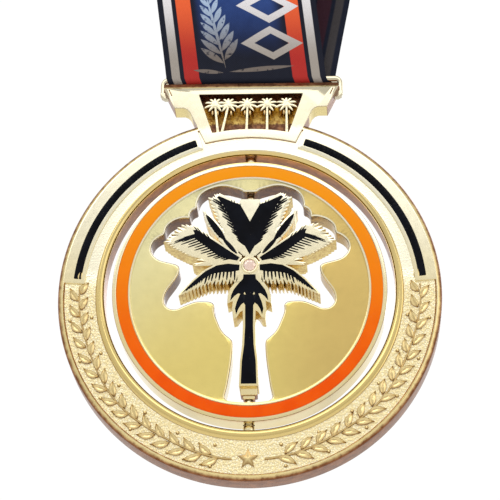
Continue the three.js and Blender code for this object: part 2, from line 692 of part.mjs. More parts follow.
place('palm_spinner', palmSolid(), 'gold', spinner);
for (const [face, side] of [['front', -1], ['back', 1]]) {
  const high = side * (PALM_HALF - ENAMEL_SINK);
  const low = side * (PALM_HALF - CELL_DEPTH + ENAMEL_GAP);
  for (const [cell, outlines] of Object.entries(cellOutlines(-ENAMEL_GAP))) {
    const solid = cellSolid(outlines, Math.min(high, low), Math.max(high, low));
    place(`palm_enamel_${cell}_${face}`, solid, 'black', spinner);
  }
  const seat = PALM_HALF + ENAMEL_GAP;
  const dome = STONE_DOME.map(([radius, rise]) => [radius, side * (seat + rise)]);
  place(`crown_stone_${face}`, turned(dome, 12).translate([0, 0, CROWN_Z]), 'stone', spinner);
}
const palmPinTop = upright(PALM_PIN_RADIUS, HEART_TOP - 1.4, CUTOUT_DIP + 2);
place('palm_pin_top', palmPinTop, 'steel', spinner);
const palmPinFoot = upright(PALM_PIN_RADIUS, CUTOUT_FOOT - 1.4, STUB_STEPS[1][1] + 1.5);
place('palm_pin_bottom', palmPinFoot, 'steel', spinner);

const ribbon = ribbonGeometry();
const [creepLow, creepHigh] = ribbon.userData.creep;
place('neck_ribbon', ribbon, 'satin');
place('seam_stitching', stitchSolid(creepHigh), 'thread');
place('ribbon_tie', tieSolid([creepLow, creepHigh]), 'elastic');

export default medal;
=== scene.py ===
"""Sports finisher medal on its folded neck ribbon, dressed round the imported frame.

Lengths are in millimetres from the centre of the ring: X to the right, Y away from the viewer,
Z up. Every mesh is turned into metres and set at the ring's centre when it is made.
"""

import math

import bmesh
import bpy
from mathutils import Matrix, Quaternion, Vector, noise
from mathutils.geometry import delaunay_2d_cdt


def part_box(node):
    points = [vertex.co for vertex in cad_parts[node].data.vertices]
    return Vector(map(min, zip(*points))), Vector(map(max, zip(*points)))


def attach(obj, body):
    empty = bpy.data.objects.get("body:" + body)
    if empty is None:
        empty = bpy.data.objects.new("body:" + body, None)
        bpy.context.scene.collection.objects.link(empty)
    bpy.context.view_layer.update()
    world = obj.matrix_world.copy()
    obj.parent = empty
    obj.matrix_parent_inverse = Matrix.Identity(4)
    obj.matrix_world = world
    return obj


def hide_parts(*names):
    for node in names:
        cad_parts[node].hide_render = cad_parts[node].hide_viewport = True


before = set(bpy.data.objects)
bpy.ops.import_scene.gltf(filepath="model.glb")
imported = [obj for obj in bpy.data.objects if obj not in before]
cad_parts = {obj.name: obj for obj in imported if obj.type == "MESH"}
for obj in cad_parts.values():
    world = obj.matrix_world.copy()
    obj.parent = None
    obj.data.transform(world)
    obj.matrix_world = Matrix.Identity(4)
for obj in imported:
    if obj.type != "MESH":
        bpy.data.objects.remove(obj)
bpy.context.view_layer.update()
scene = bpy.context.scene

MM = 0.001
DISC_LIFT = 1.4
disc_low, disc_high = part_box("spinner_disc")
CENTRE = (disc_low + disc_high) / 2 - Vector((0, 0, DISC_LIFT * MM))


# ---------------------------------------------------------------- camera

def aim_camera(azimuth=3.0, elevation=-21.0, distance=560.0, target=(0.11, -3.75, 10.91), across=116.24,
               roll=0.47):
    """A camera below the medal and a little to its right, looking up at the ring's face."""
    turn, rise = math.radians(azimuth), math.radians(elevation)
    back = Vector((math.sin(turn) * math.cos(rise), -math.cos(turn) * math.cos(rise), math.sin(rise)))
    data = bpy.data.cameras.new("camera")
    camera = bpy.data.objects.new("camera", data)
    scene.collection.objects.link(camera)
    camera.location = CENTRE + (Vector(target) + back * distance) * MM
    level = (-back).to_track_quat("-Z", "Y")
    camera.rotation_euler = (level @ Quaternion((0, 0, 1), math.radians(roll))).to_euler()
    data.sensor_width = 36
    data.lens = data.sensor_width * distance / across
    data.clip_start = 0.01
    data.clip_end = 20
    scene.camera = camera


aim_camera()


# ---------------------------------------------------------------- dimensions shared with the frame

RING_OUTER = 44.45
RING_INNER = 33.8
RING_HALF = 3.75
OUTER_RIM = 1.3
INNER_RIM = 1.85
PIN_REACH = 2.4
FIELD_SINK = 0.5
ARC_RADIUS = 40.2
ARC_WIDTH = 1.75
ARC_FROM = 18.5
ARC_TO = 84.0
PAD_INNER = 38.4
PAD_END = 1.6

HANGER_BACK = 1.85
HANGER_TOP = 53.5
HANGER_STEP = 47.3
HANGER_HALF = 20.9
HANGER_STEP_HALF = 18.2
PANEL_HALF = 14.4
PANEL_FOOT_HALF = 10.7
PANEL_FOOT = 39.6
PANEL_FOOT_SIDE = 38.2
TOP_BEVEL = 1.05
RIDGE_TOP = 54.0
WINDOW_TOP = 50.8
WINDOW_FOOT = 41.7
WINDOW_TOP_HALF = 12.4
WINDOW_FOOT_HALF = 9.1
WINDOW_DEPTH = 3.4
SLOT_HEIGHT = 1.8
SLOT_HALF = 20.7
BAR_SIZE = 1.6
BAR_SIDE = 1.2
EAR_FOOT = 50.9
EAR_TOP = 52.8
BAR_Z = HANGER_TOP + SLOT_HEIGHT + BAR_SIZE / 2

DISC_RADIUS = 31.9
DISC_HALF = 3.4
BAND_OUTER = 30.95
BAND_INNER = 28.15
BAND_DEPTH = 0.6
PALM_HALF = 3.2
CROWN_Z = 5.9
CELL_DEPTH = 0.5
HEART_TOP = 22.5
TRUNK_WAIST = -9.0
TRUNK_FOOT = -23.4
STUB_STEPS = [(1.95, -25.2), (1.4, -26.0)]
CUTOUT_FOOT = -27.3
CUTOUT_DIP = 24.4
DISC_PIN_RADIUS = 1.1
PALM_PIN_RADIUS = 0.75
PRESS_GAP = 0.08
RUN_GAP = 0.25

RIBBON_WIDTH = 38.0
RIBBON_THICK = 0.7
FRONT_LEAN = 7.0
BACK_LEAN = 9.0
SLOT_SHIFT = 1.0
FOLD_RADIUS = 1.5
LAYERS = 10
LAYER_PITCH = 4 / 3
HANK_FOOT = 87.0
HANK_TOP = 158.5
EYE_RADIUS = 3.4
EYE_Z = HANK_TOP + 6.5
LEG_RISE = 31.0
SEAM_OVERLAP = 12.0
TIE_Z = 120.0
TIE_HEIGHT = 8.0
CLOTH_THICK = 0.5


# ---------------------------------------------------------------- outlines in X and Z

def arc(cx, cz, radius, start, end, steps):
    """Points on a circle; angles are degrees, anticlockwise from +X."""
    angles = [math.radians(start + (end - start) * i / steps) for i in range(steps + 1)]
    return [(cx + radius * math.cos(a), cz + radius * math.sin(a)) for a in angles]


def circle(cx, cz, radius, steps=32):
    return arc(cx, cz, radius, 0, 360 * (1 - 1 / steps), steps - 1)


def mirrored(outline):
    """The outline's mirror image, still with its material on the left."""
    return [(-x, z) for x, z in reversed(outline)]


def both_sides(half):
    """A half outline that starts and ends on the middle line, joined to its mirror image."""
    return half + [(-x, z) for x, z in reversed(half) if x]


def sector(inner, outer, start, end, steps=48):
    """Part of a ring between two radii; angles are degrees from the top, positive to the right."""
    outside = arc(0, 0, outer, 90 - start, 90 - end, steps)
    return outside + arc(0, 0, inner, 90 - end, 90 - start, steps)


def rounded(outline, radius, steps=4):
    """The outline with each corner cut by a round one, smaller where its edges are short."""
    result = []
    count = len(outline)
    for i, corner in enumerate(outline):
        here = Vector(corner)
        before = Vector(outline[i - 1]) - here
        after = Vector(outline[(i + 1) % count]) - here
        reach = min(radius, before.length * 0.45, after.length * 0.45)
        start = here + before.normalized() * reach
        end = here + after.normalized() * reach
        for k in range(steps + 1):
            t = k / steps
            result.append(tuple((1 - t) ** 2 * start + 2 * t * (1 - t) * here + t * t * end))
    return result


class Spine:
    """A bent line from start to tip with a half-width along it: the middle of a frond or leaf."""

    def __init__(self, start, bend, tip, width, root=0.7, end=0.25):
        self.points = [Vector(p) for p in (start, bend, tip)]
        self.width = width
        self.root = root
        self.end = end

    def at(self, t):
        a, b, c = self.points
        return (1 - t) ** 2 * a + 2 * t * (1 - t) * b + t * t * c

    def along(self, t):
        a, b, c = self.points
        return ((1 - t) * (b - a) + t * (c - b)).normalized()

    def half(self, t):
        full = self.width * max(0.0, 4 * t * (1 - t)) ** 0.6
        return max(full, self.root * (1 - t) + self.end * t)

    def beside(self, t, reach):
        """The point that far to the left of the line."""
        along = self.along(t)
        return self.at(t) + Vector((-along.y, along.x)) * reach

    def length(self, steps=24):
        line = [self.at(i / steps) for i in range(steps + 1)]
        return sum((b - a).length for a, b in zip(line, line[1:]))

    def outline(self, grow=0.0, share=(1.0, 1.0), steps=22):
        """The blade's outline; share scales its left and right halves."""
        left, right = share
        stations = [i / steps for i in range(steps + 1)]
        lower = [tuple(self.beside(t, -self.half(t) * right - grow)) for t in stations]
        upper = [tuple(self.beside(t, self.half(t) * left + grow)) for t in stations]
        return lower + upper[::-1]


def spike(root, tip, half, blunt=0.3):
    """A narrow leaflet that tapers from root to tip."""
    root, tip = Vector(root), Vector(tip)
    along = (tip - root).normalized()
    side = Vector((-along.y, along.x)) * half
    neck = root.lerp(tip, 0.62)
    near = root.lerp(tip, 0.93)
    right = [root - side, neck - side * 0.85, near - side * blunt]
    left = [near + side * blunt, neck + side * 0.85, root + side]
    return [tuple(p) for p in [*right, tip, *left]]


def area(outline):
    pairs = zip(outline, outline[1:] + outline[:1])
    return sum(a[0] * b[1] - b[0] * a[1] for a, b in pairs) / 2


def without_straight_points(loop, least=0.012):
    """Drops points that lie on the line between their neighbours, or almost on top of one."""
    kept = [Vector(p) for p in loop]
    changed = True
    while changed and len(kept) > 3:
        changed = False
        for i in range(len(kept)):
            a, b, c = kept[i - 1], kept[i], kept[(i + 1) % len(kept)]
            cross = abs((b.x - a.x) * (c.y - b.y) - (b.y - a.y) * (c.x - b.x))
            if (b - a).length < least or cross < 1e-5:
                del kept[i]
                changed = True
                break
    return [tuple(p) for p in kept]


def united(plus, minus=()):
    """Closed loops, material on their left, round what plus outlines cover and minus ones don't."""
    points, faces = [], []
    for outline in [*plus, *minus]:
        ring = outline if area(outline) > 0 else outline[::-1]
        faces.append(list(range(len(points), len(points) + len(ring))))
        points.extend(Vector(p) for p in ring)
    made = delaunay_2d_cdt(points, [], faces, 0, 1e-5, True)
    where, triangles, sources = made[0], made[2], made[5]
    kept = [t for t, source in zip(triangles, sources) if source and max(source) < len(plus)]
    edges = set()
    for triangle in kept:
        flat = [tuple(where[i]) for i in triangle]
        order = triangle if area(flat) > 0 else triangle[::-1]
        edges.update(zip(order, order[1:] + order[:1]))
    onward = {}
    for a, b in edges:
        if (b, a) not in edges:
            onward.setdefault(a, []).append(b)
    loops = []
    while onward:
        first = next(iter(onward))
        loop, here, came = [first], onward[first].pop(), first
        if not onward[first]:
            del onward[first]
        while here != first:
            loop.append(here)
            back = where[came] - where[here]
            choices = onward[here]

            def turned_by(goal):
                ahead = where[goal] - where[here]
                angle = math.atan2(back.y, back.x) - math.atan2(ahead.y, ahead.x)
                return angle % (2 * math.pi) or 2 * math.pi

            best = min(choices, key=turned_by)
            choices.remove(best)
            if not choices:
                del onward[here]
            came, here = here, best
        loops.append(without_straight_points([tuple(where[i]) for i in loop]))
    return parted([loop for loop in loops if len(loop) > 2 and abs(area(loop)) > 0.004])


def parted(loops):
    """The loops with any point that is met twice drawn a hair back from its second meeting."""
    met = set()
    for loop in loops:
        for i, spot in enumerate(loop):
            key = (round(spot[0], 4), round(spot[1], 4))
            if key in met:
                before, after = loop[i - 1], loop[(i + 1) % len(loop)]
                middle = ((before[0] + after[0]) / 2, (before[1] + after[1]) / 2)
                loop[i] = tuple(here + (there - here) * 0.04 for here, there in zip(spot, middle))
            met.add(key)
    return loops


def inset(loop, distance):
    """Moves a loop towards its left by that distance, with mitred corners."""
    if distance == 0:
        return list(loop)
    count = len(loop)
    result = []
    for i in range(count):
        here = Vector(loop[i])
        coming = (here - Vector(loop[i - 1])).normalized()
        going = (Vector(loop[(i + 1) % count]) - here).normalized()
        before = Vector((-coming.y, coming.x))
        after = Vector((-going.y, going.x))
        middle = before + after
        if middle.length < 1e-6:
            result.append(tuple(here))
            continue
        middle.normalize()
        result.append(tuple(here + middle * (distance / max(0.6, middle.dot(before)))))
    return result


# ---------------------------------------------------------------- solids

PAINTS = ["polished", "field", "wall", "recess", "crown", "satin_gold", "gilt", "leaf", "opening"]
POLISHED, FIELD, WALL, RECESS, CROWN, SATIN, GILT, LEAF, OPENING = range(len(PAINTS))


class Solid:
    """Points and faces of a closed piece, in millimetres round the ring's centre."""

    def __init__(self):
        self.points = []
        self.faces = []
        self.paints = []

    def ring(self, loop, y):
        start = len(self.points)
        self.points.extend((x, y, z) for x, z in loop)
        return list(range(start, start + len(loop)))

    def line(self, points):
        start = len(self.points)
        self.points.extend(tuple(p) for p in points)
        return list(range(start, start + len(points)))

    def face(self, corners, paint=POLISHED):
        self.faces.append(tuple(corners))
        self.paints.append(paint)

    def wall(self, first, second, paint=POLISHED, closed=True):
        count = len(first)
        for i in range(count if closed else count - 1):
            j = (i + 1) % count
            self.face((first[i], first[j], second[j], second[i]), paint)

    def cap(self, rings, paint=POLISHED, shapes=None):
        """Fills the flat region between rings: its outlines and the holes in them.

        Shapes are the outlines that the rings were inset from, which never cross one another.
        """
        flat, outlines, index = [], [], []
        for i, ring in enumerate(rings):
            outline = shapes[i] if shapes else [(self.points[j][0], self.points[j][2]) for j in ring]
            order = list(range(len(flat), len(flat) + len(ring)))
            outlines.append(order if area(outline) > 0 else order[::-1])
            flat.extend(Vector(spot) for spot in outline)
            index.extend(ring)
        made = delaunay_2d_cdt(flat, [], outlines, 0, 1e-6, True)
        triangles, origins, covers = made[2], made[3], made[5]
        for triangle, cover in zip(triangles, covers):
            if len(cover) % 2:
                self.face([index[origins[i][0]] for i in triangle], paint)

    def join(self, other):
        shift = len(self.points)
        self.points.extend(other.points)
        self.faces.extend(tuple(i + shift for i in face) for face in other.faces)
        self.paints.extend(other.paints)
        return self


def edge_round(radius, front, steps=3):
    """(inset, y) steps of a quarter-round edge, from the face at y = front down to the side wall."""
    way = 1 if front < 0 else -1
    steps_back = []
    for i in range(steps + 1):
        angle = math.pi / 2 * i / steps
        steps_back.append((radius * (1 - math.sin(angle)), front + way * radius * (1 - math.cos(angle))))
    return steps_back


# Side walls take the wall paint unless told otherwise: brown painted shade.
def plate(loops, front, back, edge=0.15, face=POLISHED, side=WALL, pockets=(), back_pockets=(),
          rear=None, rear_edge=None):
    """A flat solid between two Y planes with rounded edges and pockets sunk into its faces.

    A pocket is (loops, depth, floor paint, wall paint), its loops with their inside on the left.
    """
    solid = Solid()
    rear_edge = edge if rear_edge is None else rear_edge
    front_rings, back_rings = [], []
    for loop in loops:
        profile = edge_round(edge, front) + edge_round(rear_edge, back)[::-1]
        rings = [solid.ring(inset(loop, step), y) for step, y in profile]
        middle = len(edge_round(edge, front)) - 1
        for i, (a, b) in enumerate(zip(rings, rings[1:])):
            solid.wall(a, b, side if i == middle else face)
        front_rings.append(rings[0])
        back_rings.append(rings[-1])
    for y, way, rims, holes in ((front, 1, front_rings, pockets), (back, -1, back_rings, back_pockets)):
        for pocket_loops, depth, floor_paint, wall_paint in holes:
            floors, floor_shapes = [], []
            for loop in pocket_loops:
                lip = min(0.07, edge)
                rim = solid.ring(inset(loop, -lip), y)
                shoulder = solid.ring(loop, y + way * lip)
                floor = solid.ring(inset(loop, 0.03), y + way * depth)
                solid.wall(rim, shoulder, face)
                solid.wall(shoulder, floor, wall_paint)
                rims.append(rim)
                floors.append(floor)
                floor_shapes.append(loop)
            solid.cap(floors, floor_paint, floor_shapes)
    sunk = [[loop for hole in holes for loop in hole[0]] for holes in (pockets, back_pockets)]
    solid.cap(front_rings, face, [*loops, *sunk[0]])
    solid.cap(back_rings, face if rear is None else rear, [*loops, *sunk[1]])
    return solid


def turned(profile, steps=160, paints=None, centre=(0.0, 0.0)):
    """A closed (radius, y) profile turned about the Y axis."""
    solid = Solid()
    rings = [solid.ring(circle(*centre, radius, steps), y) for radius, y in profile]
    for i, ring in enumerate(rings):
        solid.wall(ring, rings[(i + 1) % len(rings)], paints[i] if paints else POLISHED)
    return solid


def spun(profile, steps=24, centre=(0.0, 0.0), paint=POLISHED):
    """A solid of (radius, y) rings about the Y axis, closed by a flat cap at each end."""
    solid = Solid()
    rings = [solid.ring(circle(*centre, radius, steps), y) for radius, y in profile]
    for first, second in zip(rings, rings[1:]):
        solid.wall(first, second, paint)
    solid.face(rings[0], paint)
    solid.face(rings[-1], paint)
    return solid


def upright(profile, steps=28, x=0.0, y=0.0, paint=POLISHED):
    """A solid of (radius, z) rings about an upright axis, closed by a flat cap at each end."""
    solid = Solid()
    rings = []
    for radius, z in profile:
        rings.append(solid.line([(x + px, y + py, z) for px, py in circle(0, 0, radius, steps)]))
    for first, second in zip(rings, rings[1:]):
        solid.wall(first, second, paint)
    solid.face(rings[0], paint)
    solid.face(rings[-1], paint)
    return solid


def swept(path, sections, closed=False, paint=POLISHED):
    """A tube: sections[i] is the closed ring of points round path[i], already placed."""
    solid = Solid()
    rings = [solid.line(section) for section in sections]
    pairs = list(zip(rings, rings[1:]))
    if closed:
        pairs.append((rings[-1], rings[0]))
    for first, second in pairs:
        solid.wall(first, second, paint)
    if not closed:
        solid.face(rings[0], paint)
        solid.face(rings[-1], paint)
    return solid


def to_object(name, solid, lift=0.0):
    """A Blender object from a solid, in metres at its place in the frame, faces pointing out."""
    mesh = bpy.data.meshes.new(name)
    origin = CENTRE + Vector((0, 0, lift * MM))
    verts = [origin + Vector(p) * MM for p in solid.points]
    mesh.from_pydata(verts, [], solid.faces)
    for paint in PAINTS:
        mesh.materials.append(LOOKS[paint])
    mesh.polygons.foreach_set("material_index", solid.paints)
    mesh.validate()
    made = bpy.data.objects.new(name, mesh)
    scene.collection.objects.link(made)
    outward(made)
    return made


def outward(made):
    work = bmesh.new()
    work.from_mesh(made.data)
    bmesh.ops.remove_doubles(work, verts=work.verts, dist=1e-8)
    bmesh.ops.recalc_face_normals(work, faces=work.faces)
    work.to_mesh(made.data)
    work.free()


def combine(base, others, operation):
    """Joins closed objects to base, or cuts them from it, leaving one clean mesh."""
    for other in others:
        step = base.modifiers.new("combine", "BOOLEAN")
        step.solver = "MANIFOLD"
        step.operation = operation
        step.object = other
    graph = bpy.context.evaluated_depsgraph_get()
    merged = bpy.data.meshes.new_from_object(base.evaluated_get(graph))
    base.modifiers.clear()
    old = base.data
    base.data = merged
    merged.name = base.name
    bpy.data.meshes.remove(old)
    for other in others:
        bpy.data.objects.remove(other)


# ---------------------------------------------------------------- materials

class Look:
    """A node material: a Principled shader and short calls that add and link nodes."""

    def __init__(self, name):
        self.material = bpy.data.materials.new(name)
        self.material.use_nodes = True
        self.tree = self.material.node_tree
        self.shader = self.tree.nodes["Principled BSDF"]
        self.place = self.add("ShaderNodeTexCoord").outputs["Object"]

    def add(self, kind, inputs=None, **settings):
        node = self.tree.nodes.new(kind)
        for key, value in settings.items():
            setattr(node, key, value)
        for key, value in (inputs or {}).items():
            self.put(node.inputs[key], value)
        return node

    def put(self, socket, value):
        if isinstance(value, bpy.types.NodeSocket):
            self.tree.links.new(value, socket)
        elif hasattr(socket.default_value, "__len__") and not hasattr(value, "__len__"):
            socket.default_value = (value,) * len(socket.default_value)
        elif hasattr(value, "__len__") and len(value) == 3 and len(socket.default_value) == 4:
            socket.default_value = (*value, 1.0)
        else:
            socket.default_value = value

    def set(self, **values):
        for key, value in values.items():
            self.put(self.shader.inputs[key.replace("_", " ")], value)
        return self

    def math(self, operation, a, b=0.0, c=0.0, clamp=False):
        node = self.add("ShaderNodeMath", operation=operation, use_clamp=clamp)
        for socket, value in zip(node.inputs, (a, b, c)):
            self.put(socket, value)
        return node.outputs[0]

    def plus(self, a, b):
        return self.math("ADD", a, b)

    def minus(self, a, b):
        return self.math("SUBTRACT", a, b)

    def times(self, a, b, clamp=False):
        return self.math("MULTIPLY", a, b, clamp=clamp)

    def mix(self, share, a, b):
        node = self.add("ShaderNodeMix", data_type="RGBA")
        for name, value in (("Factor_Float", share), ("A_Color", a), ("B_Color", b)):
            self.put(next(s for s in node.inputs if s.identifier == name), value)
        return next(s for s in node.outputs if s.identifier == "Result_Color")

    def blend(self, share, a, b):
        """A number that goes from a to b as share goes from 0 to 1."""
        node = self.add("ShaderNodeMapRange", {"Value": share, "To Min": a, "To Max": b})
        return node.outputs[0]

    def ease(self, value, start, end):
        """0 before start and 1 after end, smooth between."""
        node = self.add("ShaderNodeMapRange", {"Value": value, "From Min": start, "From Max": end},
                        interpolation_type="SMOOTHSTEP")
        return node.outputs[0]

    def noise(self, size, detail=2.0, roughness=0.5, stretch=None):
        """Noise with blobs about that many millimetres across."""
        where = self.place
        if stretch:
            where = self.add("ShaderNodeMapping", {"Vector": where, "Scale": stretch}).outputs[0]
        settings = {"Vector": where, "Scale": 1 / (size * MM), "Detail": detail, "Roughness": roughness}
        return self.add("ShaderNodeTexNoise", settings).outputs["Fac"]

    def grains(self, size):
        """Distance to the nearest of the cells that pack the surface, each about that size."""
        settings = {"Vector": self.place, "Scale": 1 / (size * MM)}
        return self.add("ShaderNodeTexVoronoi", settings).outputs["Distance"]

    def axis(self, letter):
        """One coordinate in millimetres round the ring's centre."""
        split = self.add("ShaderNodeSeparateXYZ", {"Vector": self.place})
        centre = CENTRE["XYZ".index(letter)]
        return self.math("MULTIPLY", self.math("SUBTRACT", split.outputs[letter], centre), 1 / MM)

    def bump(self, height, depth, after=None):
        """A bump whose height is that many millimetres from 0 to 1."""
        node = self.add("ShaderNodeBump", {"Height": height, "Distance": depth * MM, "Strength": 1.0})
        if after is not None:
            self.put(node.inputs["Normal"], after)
        return node.outputs[0]


GOLD = (0.88, 0.72, 0.34)
GOLD_DEEP = (0.70, 0.46, 0.13)
GOLD_PALE = (0.93, 0.87, 0.66)
BROWN = (0.20, 0.074, 0.028)
BROWN_LIGHT = (0.36, 0.15, 0.062)


def polished_gold():
    """Bright pale plating with faint waves, hairline scratches and specks; a painted highlight paler towards
    the top, and painted shade on the hanger and the bead.
    """
    look = Look("polished_gold")
    waves = look.noise(9.0, 2.0)
    haze = look.noise(1.4, 4.0, 0.65)
    hairs = look.noise(0.25, 1.0, stretch=(1.0, 1.0, 0.06))
    # Painted highlight: the plating paler towards the top.
    high = look.ease(look.axis("Z"), -14.0, 26.0)
    colour = look.mix(look.times(look.ease(waves, 0.35, 0.65), 0.25), GOLD, GOLD_PALE)
    colour = look.mix(high, colour, GOLD_PALE)
    across, height = look.axis("X"), look.axis("Z")
    # Painted shade: the hanger greyer and darker than the ring.
    hanger = look.ease(look.plus(height, look.times(haze, 2.0)), 42.0, 44.0)
    colour = look.mix(hanger, colour, (0.64, 0.58, 0.42))
    # Painted shade: the bead round the opening a deeper gold.
    square = look.plus(look.times(across, across), look.times(height, height))
    radius = look.math("SQRT", square)
    bead = look.minus(look.ease(radius, 32.6, 33.0), look.ease(radius, 35.9, 36.3))
    colour = look.mix(look.times(bead, 0.9), colour, (0.76, 0.58, 0.22))
    specks = look.ease(look.noise(0.45, 1.0), 0.70, 0.76)
    colour = look.mix(look.times(specks, 0.25), colour, GOLD_DEEP)
    rough = look.blend(haze, 0.07, 0.22)
    wavy = look.bump(waves, 0.02)
    fine = look.bump(hairs, 0.002, after=wavy)
    return look.set(Base_Color=colour, Metallic=1.0, Roughness=rough, Normal=fine).material


def satin_gold():
    """The disc's faces: an even satin polish, with a painted highlight paler towards the upper left and
    painted shade darker towards the right.
    """
    look = Look("disc_face_gold")
    cloud = look.noise(14.0, 2.0)
    # Painted highlight towards the upper left, and painted shade towards the right.
    lean = look.minus(look.axis("Z"), look.times(look.axis("X"), 0.8))
    pale = look.ease(look.plus(lean, look.times(cloud, 8.0)), -6.0, 44.0)
    right = look.ease(look.plus(look.axis("X"), look.times(cloud, 8.0)), 2.0, 26.0)
    colour = look.mix(pale, (0.76, 0.61, 0.20), (0.72, 0.66, 0.36))
    colour = look.mix(right, colour, (0.62, 0.45, 0.15))
    dust = look.ease(look.noise(0.5, 1.0), 0.71, 0.77)
    colour = look.mix(look.times(dust, 0.2), colour, GOLD_DEEP)
    hairs = look.noise(0.22, 1.0, stretch=(0.08, 1.0, 1.0))
    normal = look.bump(hairs, 0.0015, after=look.bump(cloud, 0.03))
    rough = look.blend(look.noise(1.6, 4.0, 0.6), 0.16, 0.30)
    return look.set(Base_Color=colour, Metallic=1.0, Roughness=rough, Normal=normal).material


def gilt_gold():
    """The palm's side walls: painted shade in a mottled yellow deeper than the faces, with drawn-out casting
    lines.
    """
    look = Look("palm_side_gold")
    mottle = look.noise(0.9, 3.0, 0.6)
    # Painted shade: the side walls darker and deeper yellow than the faces.
    colour = look.mix(look.ease(mottle, 0.3, 0.7), (0.52, 0.33, 0.08), (0.86, 0.68, 0.24))
    streaks = look.noise(0.4, 2.0, stretch=(1.0, 0.12, 1.0))
    return look.set(Base_Color=colour, Metallic=1.0, Roughness=look.blend(mottle, 0.16, 0.34),
                    Normal=look.bump(streaks, 0.03)).material


def sandblasted_gold():
    """The sunk field: grainy below, and almost polished round the top where the arcs are."""
    look = Look("sandblasted_gold")
    smooth = look.ease(look.axis("Z"), 0.0, 7.0)
    grain = look.plus(look.grains(0.5), look.times(look.noise(0.3, 3.0, 0.6), 0.9))
    colour = look.mix(look.ease(grain, 0.45, 1.05), (0.95, 0.90, 0.70), (0.84, 0.71, 0.40))
    patches = look.ease(look.noise(3.0, 3.0), 0.42, 0.72)
    colour = look.mix(look.times(patches, 0.3), colour, (0.82, 0.66, 0.30))
    colour = look.mix(smooth, colour, GOLD_PALE)
    rough = look.blend(smooth, 0.36, 0.2)
    depth = look.times(grain, look.blend(smooth, 1.0, 0.05))
    return look.set(Base_Color=colour, Metallic=1.0, Roughness=rough, Normal=look.bump(depth, 0.14)).material


def wall_gold():
    """Side walls: mottled brown painted shade, fading back to gold near the ring's front and back faces and
    in a band under the hanger's step.
    """
    look = Look("side_wall_gold")
    deep = look.math("ABSOLUTE", look.axis("Y"))
    mottle = look.noise(1.8, 4.0, 0.6)
    # Painted shade: brown over the walls, giving way to gold near the faces.
    edge = look.ease(look.plus(deep, look.times(mottle, 0.5)), 3.55, 4.05)
    body = look.mix(look.ease(mottle, 0.35, 0.7), BROWN, BROWN_LIGHT)
    across = look.math("ABSOLUTE", look.axis("X"))
    height = look.axis("Z")
    # The band under the hanger's step is left gold, without the painted shade.
    band = look.minus(look.ease(height, HANGER_STEP - 3.0, HANGER_STEP - 2.0),
                      look.ease(height, HANGER_STEP + 1.0, HANGER_STEP + 2.0))
    inner = look.minus(1.0, look.ease(across, HANGER_STEP_HALF - 0.2, HANGER_STEP_HALF))
    step = look.times(band, inner)
    colour = look.mix(edge, look.mix(step, body, (0.86, 0.72, 0.32)), GOLD)
    streaks = look.noise(0.5, 2.0, stretch=(1.0, 0.12, 1.0))
    rough = look.blend(look.noise(0.9, 3.0), 0.2, 0.4)
    return look.set(Base_Color=colour, Metallic=1.0, Roughness=rough,
                    Normal=look.bump(streaks, 0.015)).material


def recess_gold():
    """The window's floor: rough from casting, gold in a band behind the stems and painted shade in dark
    brown below it.
    """
    look = Look("window_recess")
    lumps = look.noise(0.9, 4.0, 0.6)
    height = look.plus(look.axis("Z"), look.times(lumps, 1.2))
    band = look.minus(look.ease(height, 44.7, 45.4), look.ease(height, 48.0, 49.6))
    # Painted shade: the sunk floor dark brown away from the band.
    colour = look.mix(look.ease(lumps, 0.38, 0.66), (0.13, 0.06, 0.04), (0.30, 0.15, 0.08))
    gold = look.mix(look.ease(lumps, 0.35, 0.62), (0.42, 0.22, 0.06), (0.85, 0.62, 0.20))
    colour = look.mix(band, colour, gold)
    return look.set(Base_Color=colour, Metallic=1.0, Roughness=0.36, Normal=look.bump(lumps, 0.2)).material


def crown_gold():
    """The little palms and the raised leaves: bright tops and deeper gold in the hollows, painted shade by
    how far forward each part stands.
    """
    look = Look("relief_gold")
    front = look.times(look.axis("Y"), -1.0)
    # Painted shade: deeper gold the further back the surface lies.
    lift = look.ease(front, 3.1, 3.65)
    mottle = look.noise(0.8, 3.0)
    shade = look.times(lift, look.blend(mottle, 0.8, 1.1), clamp=True)
    colour = look.mix(shade, (0.52, 0.31, 0.09), (0.84, 0.76, 0.52))
    return look.set(Base_Color=colour, Metallic=1.0, Roughness=look.blend(mottle, 0.12, 0.26),
                    Normal=look.bump(mottle, 0.04)).material


def opening_gold():
    """The opening's walls: painted shade in dark brown above, painted light in gold at the right and pale in
    the slot.
    """
    look = Look("opening_wall_gold")
    mottle = look.noise(1.5, 4.0, 0.6)
    shift = look.times(look.minus(mottle, 0.5), 14.0)
    # Painted light and shade: pale in the slot and gold at the right where the walls face the light, dark
    # brown above where they face away.
    slot = look.minus(1.0, look.ease(look.plus(look.axis("Z"), shift), -10.0, -5.0))
    right = look.ease(look.plus(look.axis("X"), shift), 12.0, 17.0)
    shaded_walls = look.mix(look.ease(mottle, 0.35, 0.7), (0.075, 0.026, 0.010), (0.17, 0.075, 0.030))
    colour = look.mix(look.times(right, 0.75), shaded_walls, (0.62, 0.42, 0.14))
    colour = look.mix(slot, colour, (0.90, 0.80, 0.56))
    streaks = look.noise(0.5, 2.0, stretch=(1.0, 0.12, 1.0))
    return look.set(Base_Color=colour, Metallic=1.0, Roughness=look.blend(mottle, 0.18, 0.36),
                    Normal=look.bump(streaks, 0.03)).material


def leaf_gold():
    """The wreath: gold with painted shade, brown at the foot of each leaf and brighter on its crest."""
    look = Look("wreath_gold")
    front = look.times(look.axis("Y"), -1.0)
    mottle = look.noise(0.7, 3.0)
    # Painted shade: brown low on each leaf, lighter towards its crest.
    crest = look.ease(look.plus(front, look.times(mottle, 0.12)), 3.42, 3.82)
    colour = look.mix(crest, (0.36, 0.20, 0.06), (0.88, 0.70, 0.34))
    return look.set(Base_Color=colour, Metallic=1.0, Roughness=look.blend(mottle, 0.14, 0.3),
                    Normal=look.bump(mottle, 0.05)).material


